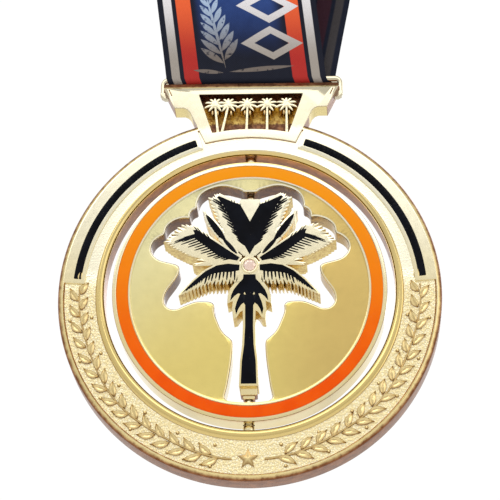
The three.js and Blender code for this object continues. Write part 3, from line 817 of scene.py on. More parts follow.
def enamel(name, colour, other):
    """Enamel with a slow ripple, a few dust specks and fine scratches."""
    look = Look(name)
    ripple = look.noise(5.0, 2.0)
    dust = look.ease(look.noise(0.35, 1.0), 0.74, 0.78)
    tint = look.mix(look.ease(ripple, 0.35, 0.7), colour, other)
    tint = look.mix(look.times(dust, 0.18), tint, (0.45, 0.38, 0.28))
    scratch = look.noise(0.3, 1.0, stretch=(1.0, 1.0, 0.08))
    wavy = look.bump(ripple, 0.05)
    look.set(Base_Color=tint, Roughness=look.blend(look.noise(1.2, 3.0), 0.10, 0.24))
    return look.set(Normal=look.bump(scratch, 0.003, after=wavy), Specular_IOR_Level=0.07)


def black_enamel():
    return enamel("black_enamel", (0.002, 0.0022, 0.004), (0.004, 0.005, 0.009)).material


def orange_enamel():
    """Orange with a painted highlight: a little yellower round the top of the disc."""
    look = enamel("orange_enamel", (0.84, 0.085, 0.002), (0.88, 0.105, 0.003))
    # Painted highlight: the enamel yellower towards the top.
    high = look.ease(look.axis("Z"), -26.0, 34.0)
    tint = look.shader.inputs["Base Color"].links[0].from_socket
    return look.set(Base_Color=look.mix(high, tint, (0.92, 0.32, 0.008))).material


def stone_look():
    look = Look("crown_stone")
    veil = look.noise(1.0, 3.0)
    colour = look.mix(veil, (0.86, 0.56, 0.42), (0.95, 0.80, 0.70))
    look.set(Base_Color=colour, Metallic=0.55, Roughness=look.blend(veil, 0.03, 0.12))
    return look.set(Coat_Weight=1.0, Coat_Roughness=0.02, Normal=look.bump(veil, 0.01)).material


def pin_look():
    """Plated steel pin with fine turning marks round it."""
    look = Look("plated_pin")
    rings = look.noise(0.16, 1.0, stretch=(0.05, 0.05, 1.0))
    colour = look.mix(look.noise(0.8, 3.0), GOLD, GOLD_PALE)
    return look.set(Base_Color=colour, Metallic=1.0, Roughness=look.blend(rings, 0.14, 0.3),
                    Normal=look.bump(rings, 0.012)).material


def thread_look():
    look = Look("sewing_thread")
    twist = look.noise(0.18, 1.0, stretch=(1.0, 1.0, 0.4))
    colour = look.mix(twist, (0.50, 0.48, 0.50), (0.86, 0.84, 0.84))
    return look.set(Base_Color=colour, Roughness=0.72, Sheen_Weight=0.3,
                    Normal=look.bump(twist, 0.08)).material


def elastic_look():
    """Covered elastic: crosswise knit over rubber cores, with light fibres on it."""
    look = Look("elastic_band")
    knit = look.noise(0.35, 2.0, stretch=(0.5, 0.5, 1.6))
    fuzz = look.noise(0.12, 2.0)
    colour = look.mix(look.ease(knit, 0.35, 0.7), (0.006, 0.007, 0.010), (0.035, 0.037, 0.048))
    colour = look.mix(look.ease(fuzz, 0.66, 0.74), colour, (0.12, 0.12, 0.14))
    return look.set(Base_Color=colour, Roughness=0.8, Sheen_Weight=0.4,
                    Normal=look.bump(knit, 0.12)).material


def satin_base(name):
    """A look for the ribbon: its shader, cloth coordinates in millimetres and a yarn pattern."""
    look = Look(name)
    cloth = look.add("ShaderNodeUVMap", uv_map="cloth").outputs[0]
    split = look.add("ShaderNodeSeparateXYZ", {"Vector": cloth})
    across = look.times(split.outputs["X"], 1000.0)
    along = look.times(split.outputs["Y"], 1000.0)
    from_edge = look.minus(RIBBON_WIDTH / 2, look.math("ABSOLUTE", across))
    yarn = look.add("ShaderNodeTexWave", {
        "Vector": look.add("ShaderNodeCombineXYZ", {"X": across, "Y": along}).outputs[0],
        "Scale": 1.15, "Distortion": 0.4, "Detail": 1.0}, bands_direction="DIAGONAL").outputs["Fac"]
    return look, across, along, from_edge, yarn


def between(look, value, start, end, soft=0.08):
    """1 where the value lies between start and end, 0 elsewhere, with soft edges."""
    rise = look.ease(value, start - soft, start + soft)
    fall = look.ease(value, end - soft, end + soft)
    return look.minus(rise, fall)


def leaf_mark(look, across, along, x, z, degrees, length, half):
    """1 inside a pointed leaf that starts at (x, z) and lies along the angle."""
    angle = math.radians(degrees)
    dx = look.minus(across, x)
    dz = look.minus(along, z)
    u = look.plus(look.times(dx, math.cos(angle) / length), look.times(dz, math.sin(angle) / length))
    v = look.minus(look.times(dz, math.cos(angle) / half), look.times(dx, math.sin(angle) / half))
    swell = look.times(look.times(u, look.minus(1.0, u)), 4.0)
    return look.ease(look.minus(swell, look.math("ABSOLUTE", v)), 0.0, 0.22)


def diamond_mark(look, across, along, x, z, reach, rise, thick):
    """1 inside the outline of a diamond centred on (x, z)."""
    dx = look.math("ABSOLUTE", look.minus(across, x))
    dz = look.math("ABSOLUTE", look.minus(along, z))
    away = look.plus(look.times(dx, 1 / reach), look.times(dz, 1 / rise))
    return between(look, away, 1.0 - thick, 1.0, 0.02)


def sprig_leaves():
    """The printed feather-shaped sprig: (across, along, angle, length, half width) of each leaf."""
    leaves = [(-4.4, 5.5, 98, 21.0, 0.4), (-4.2, 5.3, 5, 16.5, 0.65), (-5.0, 5.1, 174, 7.6, 0.6)]
    for i in range(7):
        share = i / 6
        height = 7.5 + 2.35 * i
        stem = -4.4 - (height - 5.5) * 0.14
        length, half = 6.8 - 3.2 * share, 0.95 - 0.35 * share
        leaves.append((stem, height, 142 - 14 * share, length, half))
        leaves.append((stem, height + 0.8, 54 + 10 * share, length, half))
    return leaves


DIAMONDS = [(7.2, 12.5), (7.2, 21.7), (7.2, 30.9)]
PRINT_START = -1.5
PRINT_REPEAT = 61.0


def satin_look():
    """Printed satin: a stripe pair along each edge, with a repeating sprig and diamonds between, under
    painted light that is dark at the start of each repeat.
    """
    look, across, along, from_edge, yarn = satin_base("printed_satin")
    blotch = look.noise(3.0, 3.0)
    print_along = look.math("WRAP", look.minus(along, PRINT_START), PRINT_REPEAT, 0.0)
    # Painted light: the cloth is dark at the start of each print repeat, from the bar, and lit further
    # along, bluer in the middle.
    lift = look.ease(print_along, 8.0, 25.0)
    navy = look.mix(blotch, (0.003, 0.004, 0.011), (0.006, 0.008, 0.020))
    navy_lit = look.mix(blotch, (0.014, 0.040, 0.17), (0.030, 0.075, 0.27))
    centre = look.ease(from_edge, 8.0, 11.5)
    ground = look.mix(look.times(lift, centre), navy, navy_lit)
    # Each print colour has a painted-shade copy and a lit copy, mixed by the same painted light.
    red = look.mix(lift, (0.44, 0.024, 0.017), (0.86, 0.13, 0.035))
    colour = look.mix(between(look, from_edge, 4.35, 7.9), ground, red)
    ragged = look.noise(1.1, 3.0, 0.6)
    sprig = 0.0
    for leaf in sprig_leaves():
        sprig = look.math("MAXIMUM", sprig, leaf_mark(look, across, print_along, *leaf))
    sprig = look.times(sprig, look.ease(ragged, 0.30, 0.46))
    leaf_colour = look.mix(lift, (0.17, 0.14, 0.12), (0.42, 0.55, 0.74))
    colour = look.mix(sprig, colour, leaf_colour)
    marks = 0.0
    for x, z in DIAMONDS:
        marks = look.math("MAXIMUM", marks, diamond_mark(look, across, print_along, x, z, 7.4, 4.2, 0.44))
    pale = look.mix(lift, (0.36, 0.32, 0.28), (0.80, 0.78, 0.80))
    colour = look.mix(marks, colour, pale)
    colour = look.mix(between(look, from_edge, 1.35, 3.35), colour, pale)
    colour = look.mix(look.times(yarn, 0.025), colour, (0.30, 0.32, 0.40))
    rough = look.blend(look.noise(2.0, 3.0), 0.42, 0.56)
    look.set(Base_Color=colour, Roughness=rough, Specular_IOR_Level=0.12)
    return look.set(Normal=look.bump(yarn, 0.025)).material


def satin_back_look():
    """The cloth's other side: dark, with the stripes only faintly showing through."""
    look, across, along, from_edge, yarn = satin_base("satin_reverse")
    blotch = look.noise(3.0, 3.0)
    colour = look.mix(blotch, (0.006, 0.008, 0.018), (0.013, 0.017, 0.036))
    colour = look.mix(look.times(between(look, from_edge, 1.35, 3.35, 0.25), 0.5), colour,
                      (0.10, 0.085, 0.075))
    colour = look.mix(look.times(between(look, from_edge, 4.35, 7.9, 0.3), 0.22), colour,
                      (0.16, 0.02, 0.014))
    look.set(Base_Color=colour, Roughness=look.blend(yarn, 0.55, 0.7), Specular_IOR_Level=0.1)
    return look.set(Normal=look.bump(yarn, 0.03)).material


LOOKS = {
    "polished": polished_gold(), "field": sandblasted_gold(), "wall": wall_gold(), "recess": recess_gold(),
    "crown": crown_gold(), "satin_gold": satin_gold(), "gilt": gilt_gold(), "leaf": leaf_gold(),
    "opening": opening_gold(), "black": black_enamel(), "orange": orange_enamel(), "stone": stone_look(),
    "pin": pin_look(), "satin": satin_look(), "satin_back": satin_back_look(), "thread": thread_look(),
    "elastic": elastic_look(),
}


def finish_piece(made, looks, body, nodes, sharp=38.0, flat=False):
    """Gives a piece its materials and smooth shading, and ties it to the frame."""
    mesh = made.data
    paints = [polygon.material_index for polygon in mesh.polygons]
    mesh.materials.clear()
    for name in looks:
        mesh.materials.append(LOOKS[name])
    if len(looks) > 1:
        mesh.polygons.foreach_set("material_index", paints)
    used = {polygon.material_index for polygon in mesh.polygons}
    for index in reversed(range(len(looks))):
        if index not in used and len(mesh.materials) > 1:
            mesh.materials.pop(index=index)
    mesh.polygons.foreach_set("use_smooth", [not flat] * len(mesh.polygons))
    if not flat:
        mesh.set_sharp_from_angle(angle=math.radians(sharp))
        weigh = made.modifiers.new("even_shading", "WEIGHTED_NORMAL")
        weigh.keep_sharp = True
        weigh.weight = 80
    mesh.update()
    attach(made, body)
    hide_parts(*nodes)
    return made


# ---------------------------------------------------------------- ring, hanger and loop

def ring_solid():
    """The outer ring: a bead round the opening, a plain outer rim and the sunk field between."""
    field = RING_HALF - FIELD_SINK
    inside = RING_INNER + INNER_RIM
    outside = RING_OUTER - OUTER_RIM
    # Points marked WALL take the wall paint, brown painted shade: the steps down to the field and the outer
    # chamfer.
    half = [
        (RING_INNER, RING_HALF - 1.0, POLISHED), (RING_INNER + 0.12, RING_HALF - 0.62, POLISHED),
        (RING_INNER + 0.4, RING_HALF - 0.27, POLISHED), (RING_INNER + 0.75, RING_HALF - 0.08, POLISHED),
        (RING_INNER + 1.1, RING_HALF, POLISHED), (inside - 0.45, RING_HALF - 0.03, POLISHED),
        (inside - 0.18, RING_HALF - 0.14, POLISHED), (inside, RING_HALF - 0.34, WALL),
        (inside + 0.04, field + 0.06, FIELD), (inside + 0.15, field, FIELD),
        (outside - 0.25, field, WALL), (outside - 0.04, field + 0.12, WALL),
        (outside, RING_HALF - 0.12, POLISHED), (outside + 0.12, RING_HALF, POLISHED),
        (RING_OUTER - 0.95, RING_HALF, WALL), (RING_OUTER - 0.25, RING_HALF - 0.4, WALL),
        (RING_OUTER, RING_HALF - 0.85, WALL),
    ]
    front = [(radius, -y) for radius, y, _ in half]
    back = [(radius, y) for radius, y, _ in reversed(half)]
    front_paints = [paint for _, _, paint in half]
    solid = turned(front + back, 216, front_paints + front_paints[-2::-1] + [WALL])
    solid.points = [(x, y, z + bead_lift(math.hypot(x, z))) for x, y, z in solid.points]
    return solid


def bead_lift(radius):
    """How far the ring is lifted there: its opening goes with the disc, the bead's foot halfway."""
    near, far = RING_INNER + 1.1, RING_INNER + INNER_RIM + 0.2
    share = min(1.0, max(0.0, (radius - near) / (RING_INNER + INNER_RIM - near)))
    return 0.0 if radius > far else DISC_LIFT * (1 - share / 2)


def arc_pad(side):
    """The raised pad round one black arc, out to the rim."""
    outline = sector(PAD_INNER, RING_OUTER - OUTER_RIM + 0.35, side * (ARC_FROM - PAD_END),
                     side * (ARC_TO + PAD_END))
    channel = sector(ARC_RADIUS - ARC_WIDTH / 2, ARC_RADIUS + ARC_WIDTH / 2, side * ARC_FROM, side * ARC_TO)
    loops = united([rounded(outline, 0.2)])
    pocket = (united([rounded(channel, 0.25)]), FIELD_SINK, POLISHED, POLISHED)
    return plate(loops, -RING_HALF, -RING_HALF + FIELD_SINK + 0.8, 0.12, side=POLISHED, pockets=[pocket])


def arc_enamel(side, gap=0.02, sink=0.07):
    low = ARC_RADIUS - ARC_WIDTH / 2 + gap
    high = ARC_RADIUS + ARC_WIDTH / 2 - gap
    channel = rounded(sector(low, high, side * (ARC_FROM + 0.05), side * (ARC_TO - 0.05)), 0.22)
    return plate(united([channel]), -RING_HALF + sink, -RING_HALF + FIELD_SINK - 0.02, 0.06)


def hanger_outline():
    """The stepped plate under the slot: cornice, step, hollow shoulder and tapering panel."""
    right = [
        (0, RIDGE_TOP), (HANGER_HALF, RIDGE_TOP), (HANGER_HALF, HANGER_TOP - 0.6),
        (HANGER_STEP_HALF, HANGER_STEP), (PANEL_HALF + 1.6, HANGER_STEP),
        (PANEL_HALF + 0.75, HANGER_STEP - 0.35), (PANEL_HALF + 0.1, HANGER_STEP - 1.1),
        (PANEL_HALF - 0.4, HANGER_STEP - 2.2), (PANEL_FOOT_HALF, PANEL_FOOT_SIDE),
        (PANEL_FOOT_HALF * 0.7, PANEL_FOOT - 0.72), (PANEL_FOOT_HALF * 0.35, PANEL_FOOT - 0.18),
        (0, PANEL_FOOT),
    ]
    return both_sides(right)


def window_outline():
    right = [
        (WINDOW_TOP_HALF, WINDOW_TOP), (WINDOW_FOOT_HALF, WINDOW_FOOT - 0.9),
        (WINDOW_FOOT_HALF * 0.6, WINDOW_FOOT - 0.32), (WINDOW_FOOT_HALF * 0.3, WINDOW_FOOT - 0.08),
    ]
    return [*right, (0, WINDOW_FOOT), *[(-x, z) for x, z in reversed(right)]]


def hanger_solid():
    window = united([rounded(window_outline(), 0.25)])
    pocket = (window, WINDOW_DEPTH, RECESS, RECESS)
    return plate(united([hanger_outline()]), -RING_HALF, HANGER_BACK, 0.14, pockets=[pocket])


def cornice_cut(y, way):
    """The wedge that takes the hanger's long top edge off at 45 degrees."""
    reach = HANGER_HALF + 2
    foot = HANGER_TOP - TOP_BEVEL
    corners = [
        (y - way, RIDGE_TOP + 1), (y - way, foot), (y, foot), (y + way * TOP_BEVEL, RIDGE_TOP),
        (y + way * TOP_BEVEL, RIDGE_TOP + 1),
    ]
    ends = [[(x, cy, cz) for cy, cz in corners] for x in (-reach, reach)]
    # The cut faces take the wall paint: brown painted shade.
    return swept(ends, ends, paint=WALL)


SMALL_PALMS = [(-8.5, -7.7), (-5.3, -7.0), (-0.8, -1.0), (3.9, 3.9), (8.5, 8.6)]
SMALL_CROWN_Z = 47.9


def small_palm(crown, foot):
    """A little palm in the window: arching leaflets, a thin stem and fruit under the crown."""
    floor = -RING_HALF + WINDOW_DEPTH + 0.3
    leaves = []
    fan = [(-8, 2.75), (24, 2.7), (58, 2.35), (92, 2.1), (124, 2.35), (156, 2.7), (188, 2.75),
           (222, 2.1), (318, 2.1)]
    for degrees, reach in fan:
        angle = math.radians(degrees)
        across, up = math.cos(angle), math.sin(angle)
        tip = (crown + reach * across, SMALL_CROWN_Z + reach * 0.9 * up - 0.4 * abs(across))
        bend = (crown + reach * 0.5 * across, SMALL_CROWN_Z + reach * 0.62 * up + 0.5)
        leaves.append(Spine((crown, SMALL_CROWN_Z), bend, tip, 0.3, 0.24, 0.05).outline(steps=8))
    stem = [(foot - 0.36, WINDOW_FOOT - 1.6), (foot + 0.36, WINDOW_FOOT - 1.6),
            (crown + 0.24, SMALL_CROWN_Z), (crown - 0.24, SMALL_CROWN_Z)]
    heart = circle(crown, SMALL_CROWN_Z - 0.05, 0.6, 14)
    solid = plate(united([*leaves, stem, heart]), -RING_HALF + 0.12, floor, 0.1, CROWN, GILT)
    fruit = []
    for dx, dz in [(-0.62, -1.7), (0.62, -1.75)]:
        pod = [(crown + dx + 0.3 * px, SMALL_CROWN_Z + dz + 0.68 * pz) for px, pz in circle(0, 0, 1, 14)]
        fruit.append(plate(united([pod]), -RING_HALF + 0.45, floor, 0.18, CROWN, GILT))
    return [solid, *fruit]


def ear_solid(side):
    """The lug at the end of the cornice that a side bar of the loop stands on."""
    outer = side * (SLOT_HALF + BAR_SIDE)
    inner = side * (HANGER_STEP_HALF - 1.0)
    outline = [(inner, EAR_TOP), (inner, EAR_FOOT + 0.2), (outer - side * 1.1, EAR_FOOT + 0.1),
               (outer - side * 0.25, EAR_FOOT + 0.6), (outer, EAR_FOOT + 1.3), (outer, EAR_TOP)]
    return plate(united([outline]), -BAR_SIZE / 2, BAR_SIZE / 2, 0.15, side=POLISHED)


def loop_solid():
    """The wire loop that the ribbon passes through, bent square at its two top corners."""
    x = SLOT_HALF + BAR_SIDE / 2
    bend = 1.2
    right = [(x, EAR_TOP - 0.9), (x, BAR_Z - bend)]
    right += arc(x - bend, BAR_Z - bend, bend, 15, 90, 6)
    line = right + [(-px, pz) for px, pz in reversed(right)]
    path = [Vector((px, 0, pz)) for px, pz in line]
    sections = []
    for i, here in enumerate(path):
        along = (path[min(i + 1, len(path) - 1)] - path[max(i - 1, 0)]).normalized()
        out = Vector((along.z, 0, -along.x))
        thick = BAR_SIZE / 2 + (BAR_SIDE - BAR_SIZE) / 2 * abs(along.z)
        ring = []
        for k in range(20):
            angle = 2 * math.pi * k / 20
            across = math.copysign(abs(math.cos(angle)) ** 0.75, math.cos(angle))
            deep = math.copysign(abs(math.sin(angle)) ** 0.75, math.sin(angle))
            ring.append(here + out * (thick * across) + Vector((0, 1, 0)) * (BAR_SIZE / 2 * deep))
        sections.append(ring)
    return swept(path, sections)


def cornice_groove(side):
    """A short slanting cut near the end of the cornice's face."""
    outline = [(19.75, 52.15), (19.5, 52.2), (18.75, 50.55), (19.0, 50.5)]
    outline = [(side * x, z) for x, z in outline]
    # The groove's faces take the wall paint: brown painted shade in the cut.
    return plate(united([outline]), -RING_HALF - 1, -RING_HALF + 0.35, 0.02, WALL, WALL)


def laurel_leaf(x, z, degrees, length, width, height, base):
    """A pointed leaf with a raised midrib, standing on the field and lying along its angle."""
    angle = math.radians(degrees)
    along = Vector((math.cos(angle), math.sin(angle)))
    side = Vector((-along.y, along.x))
    stations = 9
    solid = Solid()
    rows = []
    for i in range(stations + 1):
        t = i / stations
        half = max(0.03, width / 2 * math.sin(math.pi * min(1, t * 1.02) ** 0.85))
        bow = side * (0.35 * math.sin(math.pi * t))
        middle = Vector((x, z)) + along * (length * t) + bow
        rise = height * (0.35 + 0.65 * math.sin(math.pi * (0.12 + 0.78 * t)))
        rows.append([
            (middle.x + side.x * half * across, base - lift, middle.y + side.y * half * across)
            for across, lift in [(-1.06, -0.35), (-0.94, rise * 0.62), (-0.5, rise), (0, rise * 0.7),
                                 (0.5, rise), (0.94, rise * 0.62), (1.06, -0.35)]])
    rings = [solid.line(row) for row in rows]
    # The leaf's flanks and ends take the wall paint: brown painted shade.
    paints = [WALL, LEAF, LEAF, LEAF, LEAF, WALL, WALL]
    for first, second in zip(rings, rings[1:]):
        for i, paint in enumerate(paints):
            j = (i + 1) % len(paints)
            solid.face((first[i], first[j], second[j], second[i]), paint)
    solid.face(rings[0], WALL)
    solid.face(rings[-1], WALL)
    return solid


def star(x, z, outer, inner, points, base, height, turn=90.0):
    """A faceted star that rises to a point in its middle."""
    solid = Solid()
    loop = []
    for i in range(2 * points):
        radius = inner if i % 2 else outer
        angle = math.radians(turn + 180 * i / points)
        loop.append((x + radius * math.cos(angle), z + radius * math.sin(angle)))
    low = solid.ring(loop, base + 0.35)
    high = solid.ring(loop, base - 0.2)
    top = solid.line([(x, base - height, z)])[0]
    # The star's foot takes the wall paint: brown painted shade.
    solid.wall(low, high, WALL)
    for i in range(len(high)):
        solid.face((high[i], high[(i + 1) % len(high)], top), LEAF)
    solid.face(low, LEAF)
    return solid


def wreath():
    """Two laurel branches round the lower field, meeting at a star."""
    base = -(RING_HALF - FIELD_SINK)
    radius = (RING_INNER + INNER_RIM + RING_OUTER - OUTER_RIM) / 2 - 0.1
    pieces = [star(0, -radius, 2.5, 1.05, 5, base, 0.48)]
    pairs = 15
    for side in (1, -1):
        stem = []
        for i in range(41):
            bearing = 5.5 + 88.0 * i / 40
            turn = math.radians(-90 + side * bearing)
            swing = radius + 0.22 * math.sin(math.radians(bearing * 9))
            thick = 0.3 - 0.12 * i / 40
            out = Vector((math.cos(turn), 0, math.sin(turn)))
            centre = out * swing + Vector((0, base, 0))
            stem.append([centre + out * (thick * math.cos(a)) + Vector((0, -0.34 * math.sin(a), 0))
                         for a in [math.pi * (k / 6) * 1.5 - math.pi * 0.25 for k in range(7)]])
        pieces.append(swept(stem, stem, paint=LEAF))
        for i in range(pairs):
            bearing = 9.0 + 84.0 * i / pairs
            turn = -90 + side * bearing
            for flank in (1, -1):
                lag = 0.8 if flank > 0 else 3.2
                at = math.radians(turn + side * lag)
                start = radius + flank * 0.2
                heading = turn + side * (lag + 90) - side * flank * 31
                length = (4.7 if flank > 0 else 4.2) * (1 - 0.18 * i / pairs)
                pieces.append(laurel_leaf(start * math.cos(at), start * math.sin(at), heading, length,
                                          1.75, 0.5, base))
        bearing = math.radians(-90 + side * 94.5)
        heading = -90 + side * (94.5 + 90)
        pieces.append(laurel_leaf(radius * math.cos(bearing), radius * math.sin(bearing), heading, 3.6, 1.6,
                                  0.5, base))
        for i in range(6):
            bearing = math.radians(-90 + side * (11.8 + 14.0 * i))
            for flank in (1, -1):
                at = radius + flank * 2.55
                spot = (at * math.cos(bearing), at * math.sin(bearing))
                berry = [(0.02, base - 0.42), (0.26, base - 0.34), (0.42, base - 0.1), (0.42, base + 0.3)]
                pieces.append(spun(berry, 12, spot, LEAF))
    return pieces


def pin_holes(radius, spans):
    return [upright([(radius, low), (radius, high)], 28) for low, high in spans]


def build_frame():
    press = DISC_PIN_RADIUS + PRESS_GAP
    added = [arc_pad(1), arc_pad(-1)]
    blind_end = RING_INNER + PIN_REACH + 0.2
    cuts = pin_holes(press, [(DISC_LIFT + RING_INNER - 2, DISC_LIFT + blind_end),
                             (DISC_LIFT - blind_end, DISC_LIFT - RING_INNER + 2)])
    ring = to_object("medal_casting", ring_solid())
    hanger = to_object("hanger", hanger_solid())
    wedges = [cornice_cut(-RING_HALF, 1), cornice_cut(HANGER_BACK, -1)]
    grooves = [cornice_groove(1), cornice_groove(-1)]
    combine(hanger, [to_object("wedge", solid) for solid in wedges + grooves], "DIFFERENCE")
    palms = [to_object("palm", solid) for place in SMALL_PALMS for solid in small_palm(*place)]
    combine(hanger, palms, "UNION")
    combine(hanger, [to_object("ear", ear_solid(1)), to_object("ear", ear_solid(-1))], "UNION")
    behind = plate(united([window_outline()]), -RING_HALF - 1, -RING_HALF + WINDOW_DEPTH + 0.2, 0.02)
    combine(ring, [to_object("window", behind)], "DIFFERENCE")
    combine(ring, [hanger, to_object("loop", loop_solid())], "UNION")
    combine(ring, [to_object("pad", solid) for solid in added + wreath()], "UNION")
    combine(ring, [to_object("hole", solid) for solid in cuts], "DIFFERENCE")
    finish_piece(ring, PAINTS, "medal", ["medal_frame"])
    for name, side in (("arc_enamel_right", 1), ("arc_enamel_left", -1)):
        piece = to_object("black_arc_" + name[11:], arc_enamel(side))
        finish_piece(piece, ["black"], "medal", [name])


# ---------------------------------------------------------------- spinning disc

# Right half of the opening in the disc, from the notch at the top to the foot of the trunk's slot.
CUTOUT_HALF = [
    (0, CUTOUT_DIP), (1.6, CUTOUT_DIP), (2.1, 25.0), (3.9, 25.5), (5.4, 25.95), (7.3, 26.0), (9.2, 25.4),
    (10.6, 24.75), (11.6, 23.85), (12.2, 22.7), (12.5, 21.4), (12.4, 20.5), (13.5, 20.1), (14.1, 19.1),
    (14.1, 17.9), (15.3, 18.1), (16.9, 17.8), (18.5, 17.0), (19.7, 15.7), (19.9, 13.9), (21.2, 13.4),
    (22.3, 12.5), (23.0, 11.3), (23.1, 9.8), (22.4, 8.5), (21.2, 7.5), (19.0, 6.9), (16.4, 6.2),
    (16.3, 4.6), (17.0, 3.1), (18.1, 1.5), (19.4, -0.3), (19.9, -2.2), (19.6, -3.6), (18.5, -4.6),
    (16.8, -4.7), (15.4, -4.0), (13.6, -3.2), (12.3, -2.8), (10.5, -2.8), (8.9, -2.9), (8.0, -3.7),
    (8.2, -4.9), (7.9, -6.2), (7.2, -8.0), (6.6, -9.5), (5.7, -10.8), (4.6, -11.7), (3.75, -12.5),
    (3.8, -14.7), (4.05, -17.6), (4.5, -20.7), (4.9, -23.4), (5.3, -24.9), (5.6, -26.2), (4.6, -27.0),
    (2.4, CUTOUT_FOOT), (0, CUTOUT_FOOT),
]


def smoothed(outline, rounds=2):
    """The closed outline with its corners cut twice over, which leaves it flowing."""
    for _ in range(rounds):
        softer = []
        for a, b in zip(outline, outline[1:] + outline[:1]):
            a, b = Vector(a), Vector(b)
            softer += [tuple(a.lerp(b, 0.25)), tuple(a.lerp(b, 0.75))]
        outline = softer
    return outline


def cutout_loops():
    """The opening in the disc: it follows the palm's fronds in scallops, then its trunk."""
    return united([smoothed(both_sides(CUTOUT_HALF))])


def disc_solid():
    """The disc: a thin lip each side of the orange channel, a mirror field, the palm's opening."""
    solid = Solid()
    steps = 160
    floor = DISC_HALF - BAND_DEPTH
    ridge = 0.55
    field = DISC_HALF - 0.22
    half = [
        (BAND_INNER - ridge - 0.18, field, SATIN), (BAND_INNER - ridge, field + 0.05, POLISHED),
        (BAND_INNER - ridge + 0.08, DISC_HALF - 0.03, POLISHED),
        (BAND_INNER - ridge + 0.18, DISC_HALF, POLISHED),
        (BAND_INNER - 0.12, DISC_HALF, POLISHED), (BAND_INNER - 0.02, DISC_HALF - 0.08, POLISHED),
        (BAND_INNER, floor, POLISHED), (BAND_OUTER, floor, POLISHED),
        (BAND_OUTER + 0.02, DISC_HALF - 0.08, POLISHED), (BAND_OUTER + 0.12, DISC_HALF, POLISHED),
        (DISC_RADIUS - 0.25, DISC_HALF, POLISHED), (DISC_RADIUS - 0.07, DISC_HALF - 0.07, POLISHED),
        (DISC_RADIUS, DISC_HALF - 0.25, POLISHED),
    ]
    rings = [solid.ring(circle(0, 0, radius, steps), -y) for radius, y, _ in half]
    rings += [solid.ring(circle(0, 0, radius, steps), y) for radius, y, _ in reversed(half)]
    paints = [paint for _, _, paint in half] + [POLISHED] * len(half)
    for i, (first, second) in enumerate(zip(rings, rings[1:])):
        solid.wall(first, second, paints[i])
    edge = 0.42
    front, back = [rings[0]], [rings[-1]]
    shapes = [circle(0, 0, half[0][0], steps)]
    for loop in cutout_loops():
        outer = loop[::-1]
        shapes.append(outer)
        profile = edge_round(edge, -field, 4) + edge_round(edge, field, 4)[::-1]
        walls = [solid.ring(inset(outer, step), y) for step, y in profile]
        for i, (first, second) in enumerate(zip(walls, walls[1:])):
            solid.wall(first, second, OPENING if i == 4 else POLISHED)
        front.append(walls[0])
        back.append(walls[-1])
    solid.cap(front, SATIN, shapes)
    solid.cap(back, SATIN, shapes)
    return solid


def band_solid(side):
    """Orange enamel filling one channel, very slightly crowned."""
    low = DISC_HALF - BAND_DEPTH + 0.02
    high = DISC_HALF - 0.09
    inner, outer = BAND_INNER + 0.03, BAND_OUTER - 0.03
    middle = (inner + outer) / 2
    profile = [(inner, low), (inner, high - 0.06), (inner + 0.12, high), (middle - 0.6, high + 0.03),
               (middle + 0.6, high + 0.03), (outer - 0.12, high), (outer, high - 0.06), (outer, low)]
    return turned([(radius, side * y) for radius, y in profile], 160)


def build_disc():
    running = DISC_PIN_RADIUS + RUN_GAP
    pressed = PALM_PIN_RADIUS + PRESS_GAP
    disc = to_object("spinning_disc", disc_solid(), DISC_LIFT)
    cuts = pin_holes(running, [(DISC_RADIUS - 2.4, DISC_RADIUS + 2), (-DISC_RADIUS - 2, -DISC_RADIUS + 2.4)])
    cuts += pin_holes(pressed, [(CUTOUT_DIP - 1, CUTOUT_DIP + 1.8), (CUTOUT_FOOT - 1.6, CUTOUT_FOOT + 1)])
    combine(disc, [to_object("hole", solid, DISC_LIFT) for solid in cuts], "DIFFERENCE")
    finish_piece(disc, PAINTS, "disc", ["spinner_disc"])
    for name, side in (("front", -1), ("back", 1)):
        piece = to_object("orange_enamel_" + name, band_solid(side), DISC_LIFT)
        finish_piece(piece, ["orange"], "disc", ["orange_ring_" + name])


# ---------------------------------------------------------------- pins

def pin_solid(radius, low, high, collar_from, collar_to):
    """A pin with chamfered ends and a bead-like collar where it bridges the gap."""
    bead = radius + 0.28
    middle = (collar_from + collar_to) / 2
    rise = (collar_to - collar_from) / 2
    profile = [(radius - 0.2, low), (radius, low + 0.2), (radius, collar_from)]
    for i in range(1, 8):
        angle = math.pi * i / 8
        profile.append((radius + (bead - radius) * math.sin(angle), middle - rise * math.cos(angle)))
    profile += [(radius, collar_to), (radius, high - 0.2), (radius - 0.2, high)]
    return upright(profile, 28)


def build_pins():
    in_ring = RING_INNER + PIN_REACH
    in_disc = DISC_RADIUS - 2.2
    stub = STUB_STEPS[1][1]
    pins = [
        ("top_disc_pivot", "disc_pin_top", "medal", DISC_PIN_RADIUS, in_disc, in_ring,
         DISC_RADIUS + 0.25, RING_INNER + 0.15),
        ("bottom_disc_pivot", "disc_pin_bottom", "medal", DISC_PIN_RADIUS, -in_ring, -in_disc,
         -RING_INNER - 0.15, -DISC_RADIUS - 0.25),
        ("top_palm_pivot", "palm_pin_top", "disc", PALM_PIN_RADIUS, HEART_TOP - 1.4, CUTOUT_DIP + 1.6,
         HEART_TOP + 0.3, CUTOUT_DIP - 0.1),
        ("bottom_palm_pivot", "palm_pin_bottom", "disc", PALM_PIN_RADIUS, CUTOUT_FOOT - 1.4, stub + 1.5,
         CUTOUT_FOOT + 0.1, CUTOUT_FOOT + 1.1),
    ]
    for name, node, body, radius, low, high, start, end in pins:
        piece = to_object(name, pin_solid(radius, low, high, start, end), DISC_LIFT)
        finish_piece(piece, ["pin"], body, [node])


# ---------------------------------------------------------------- palm

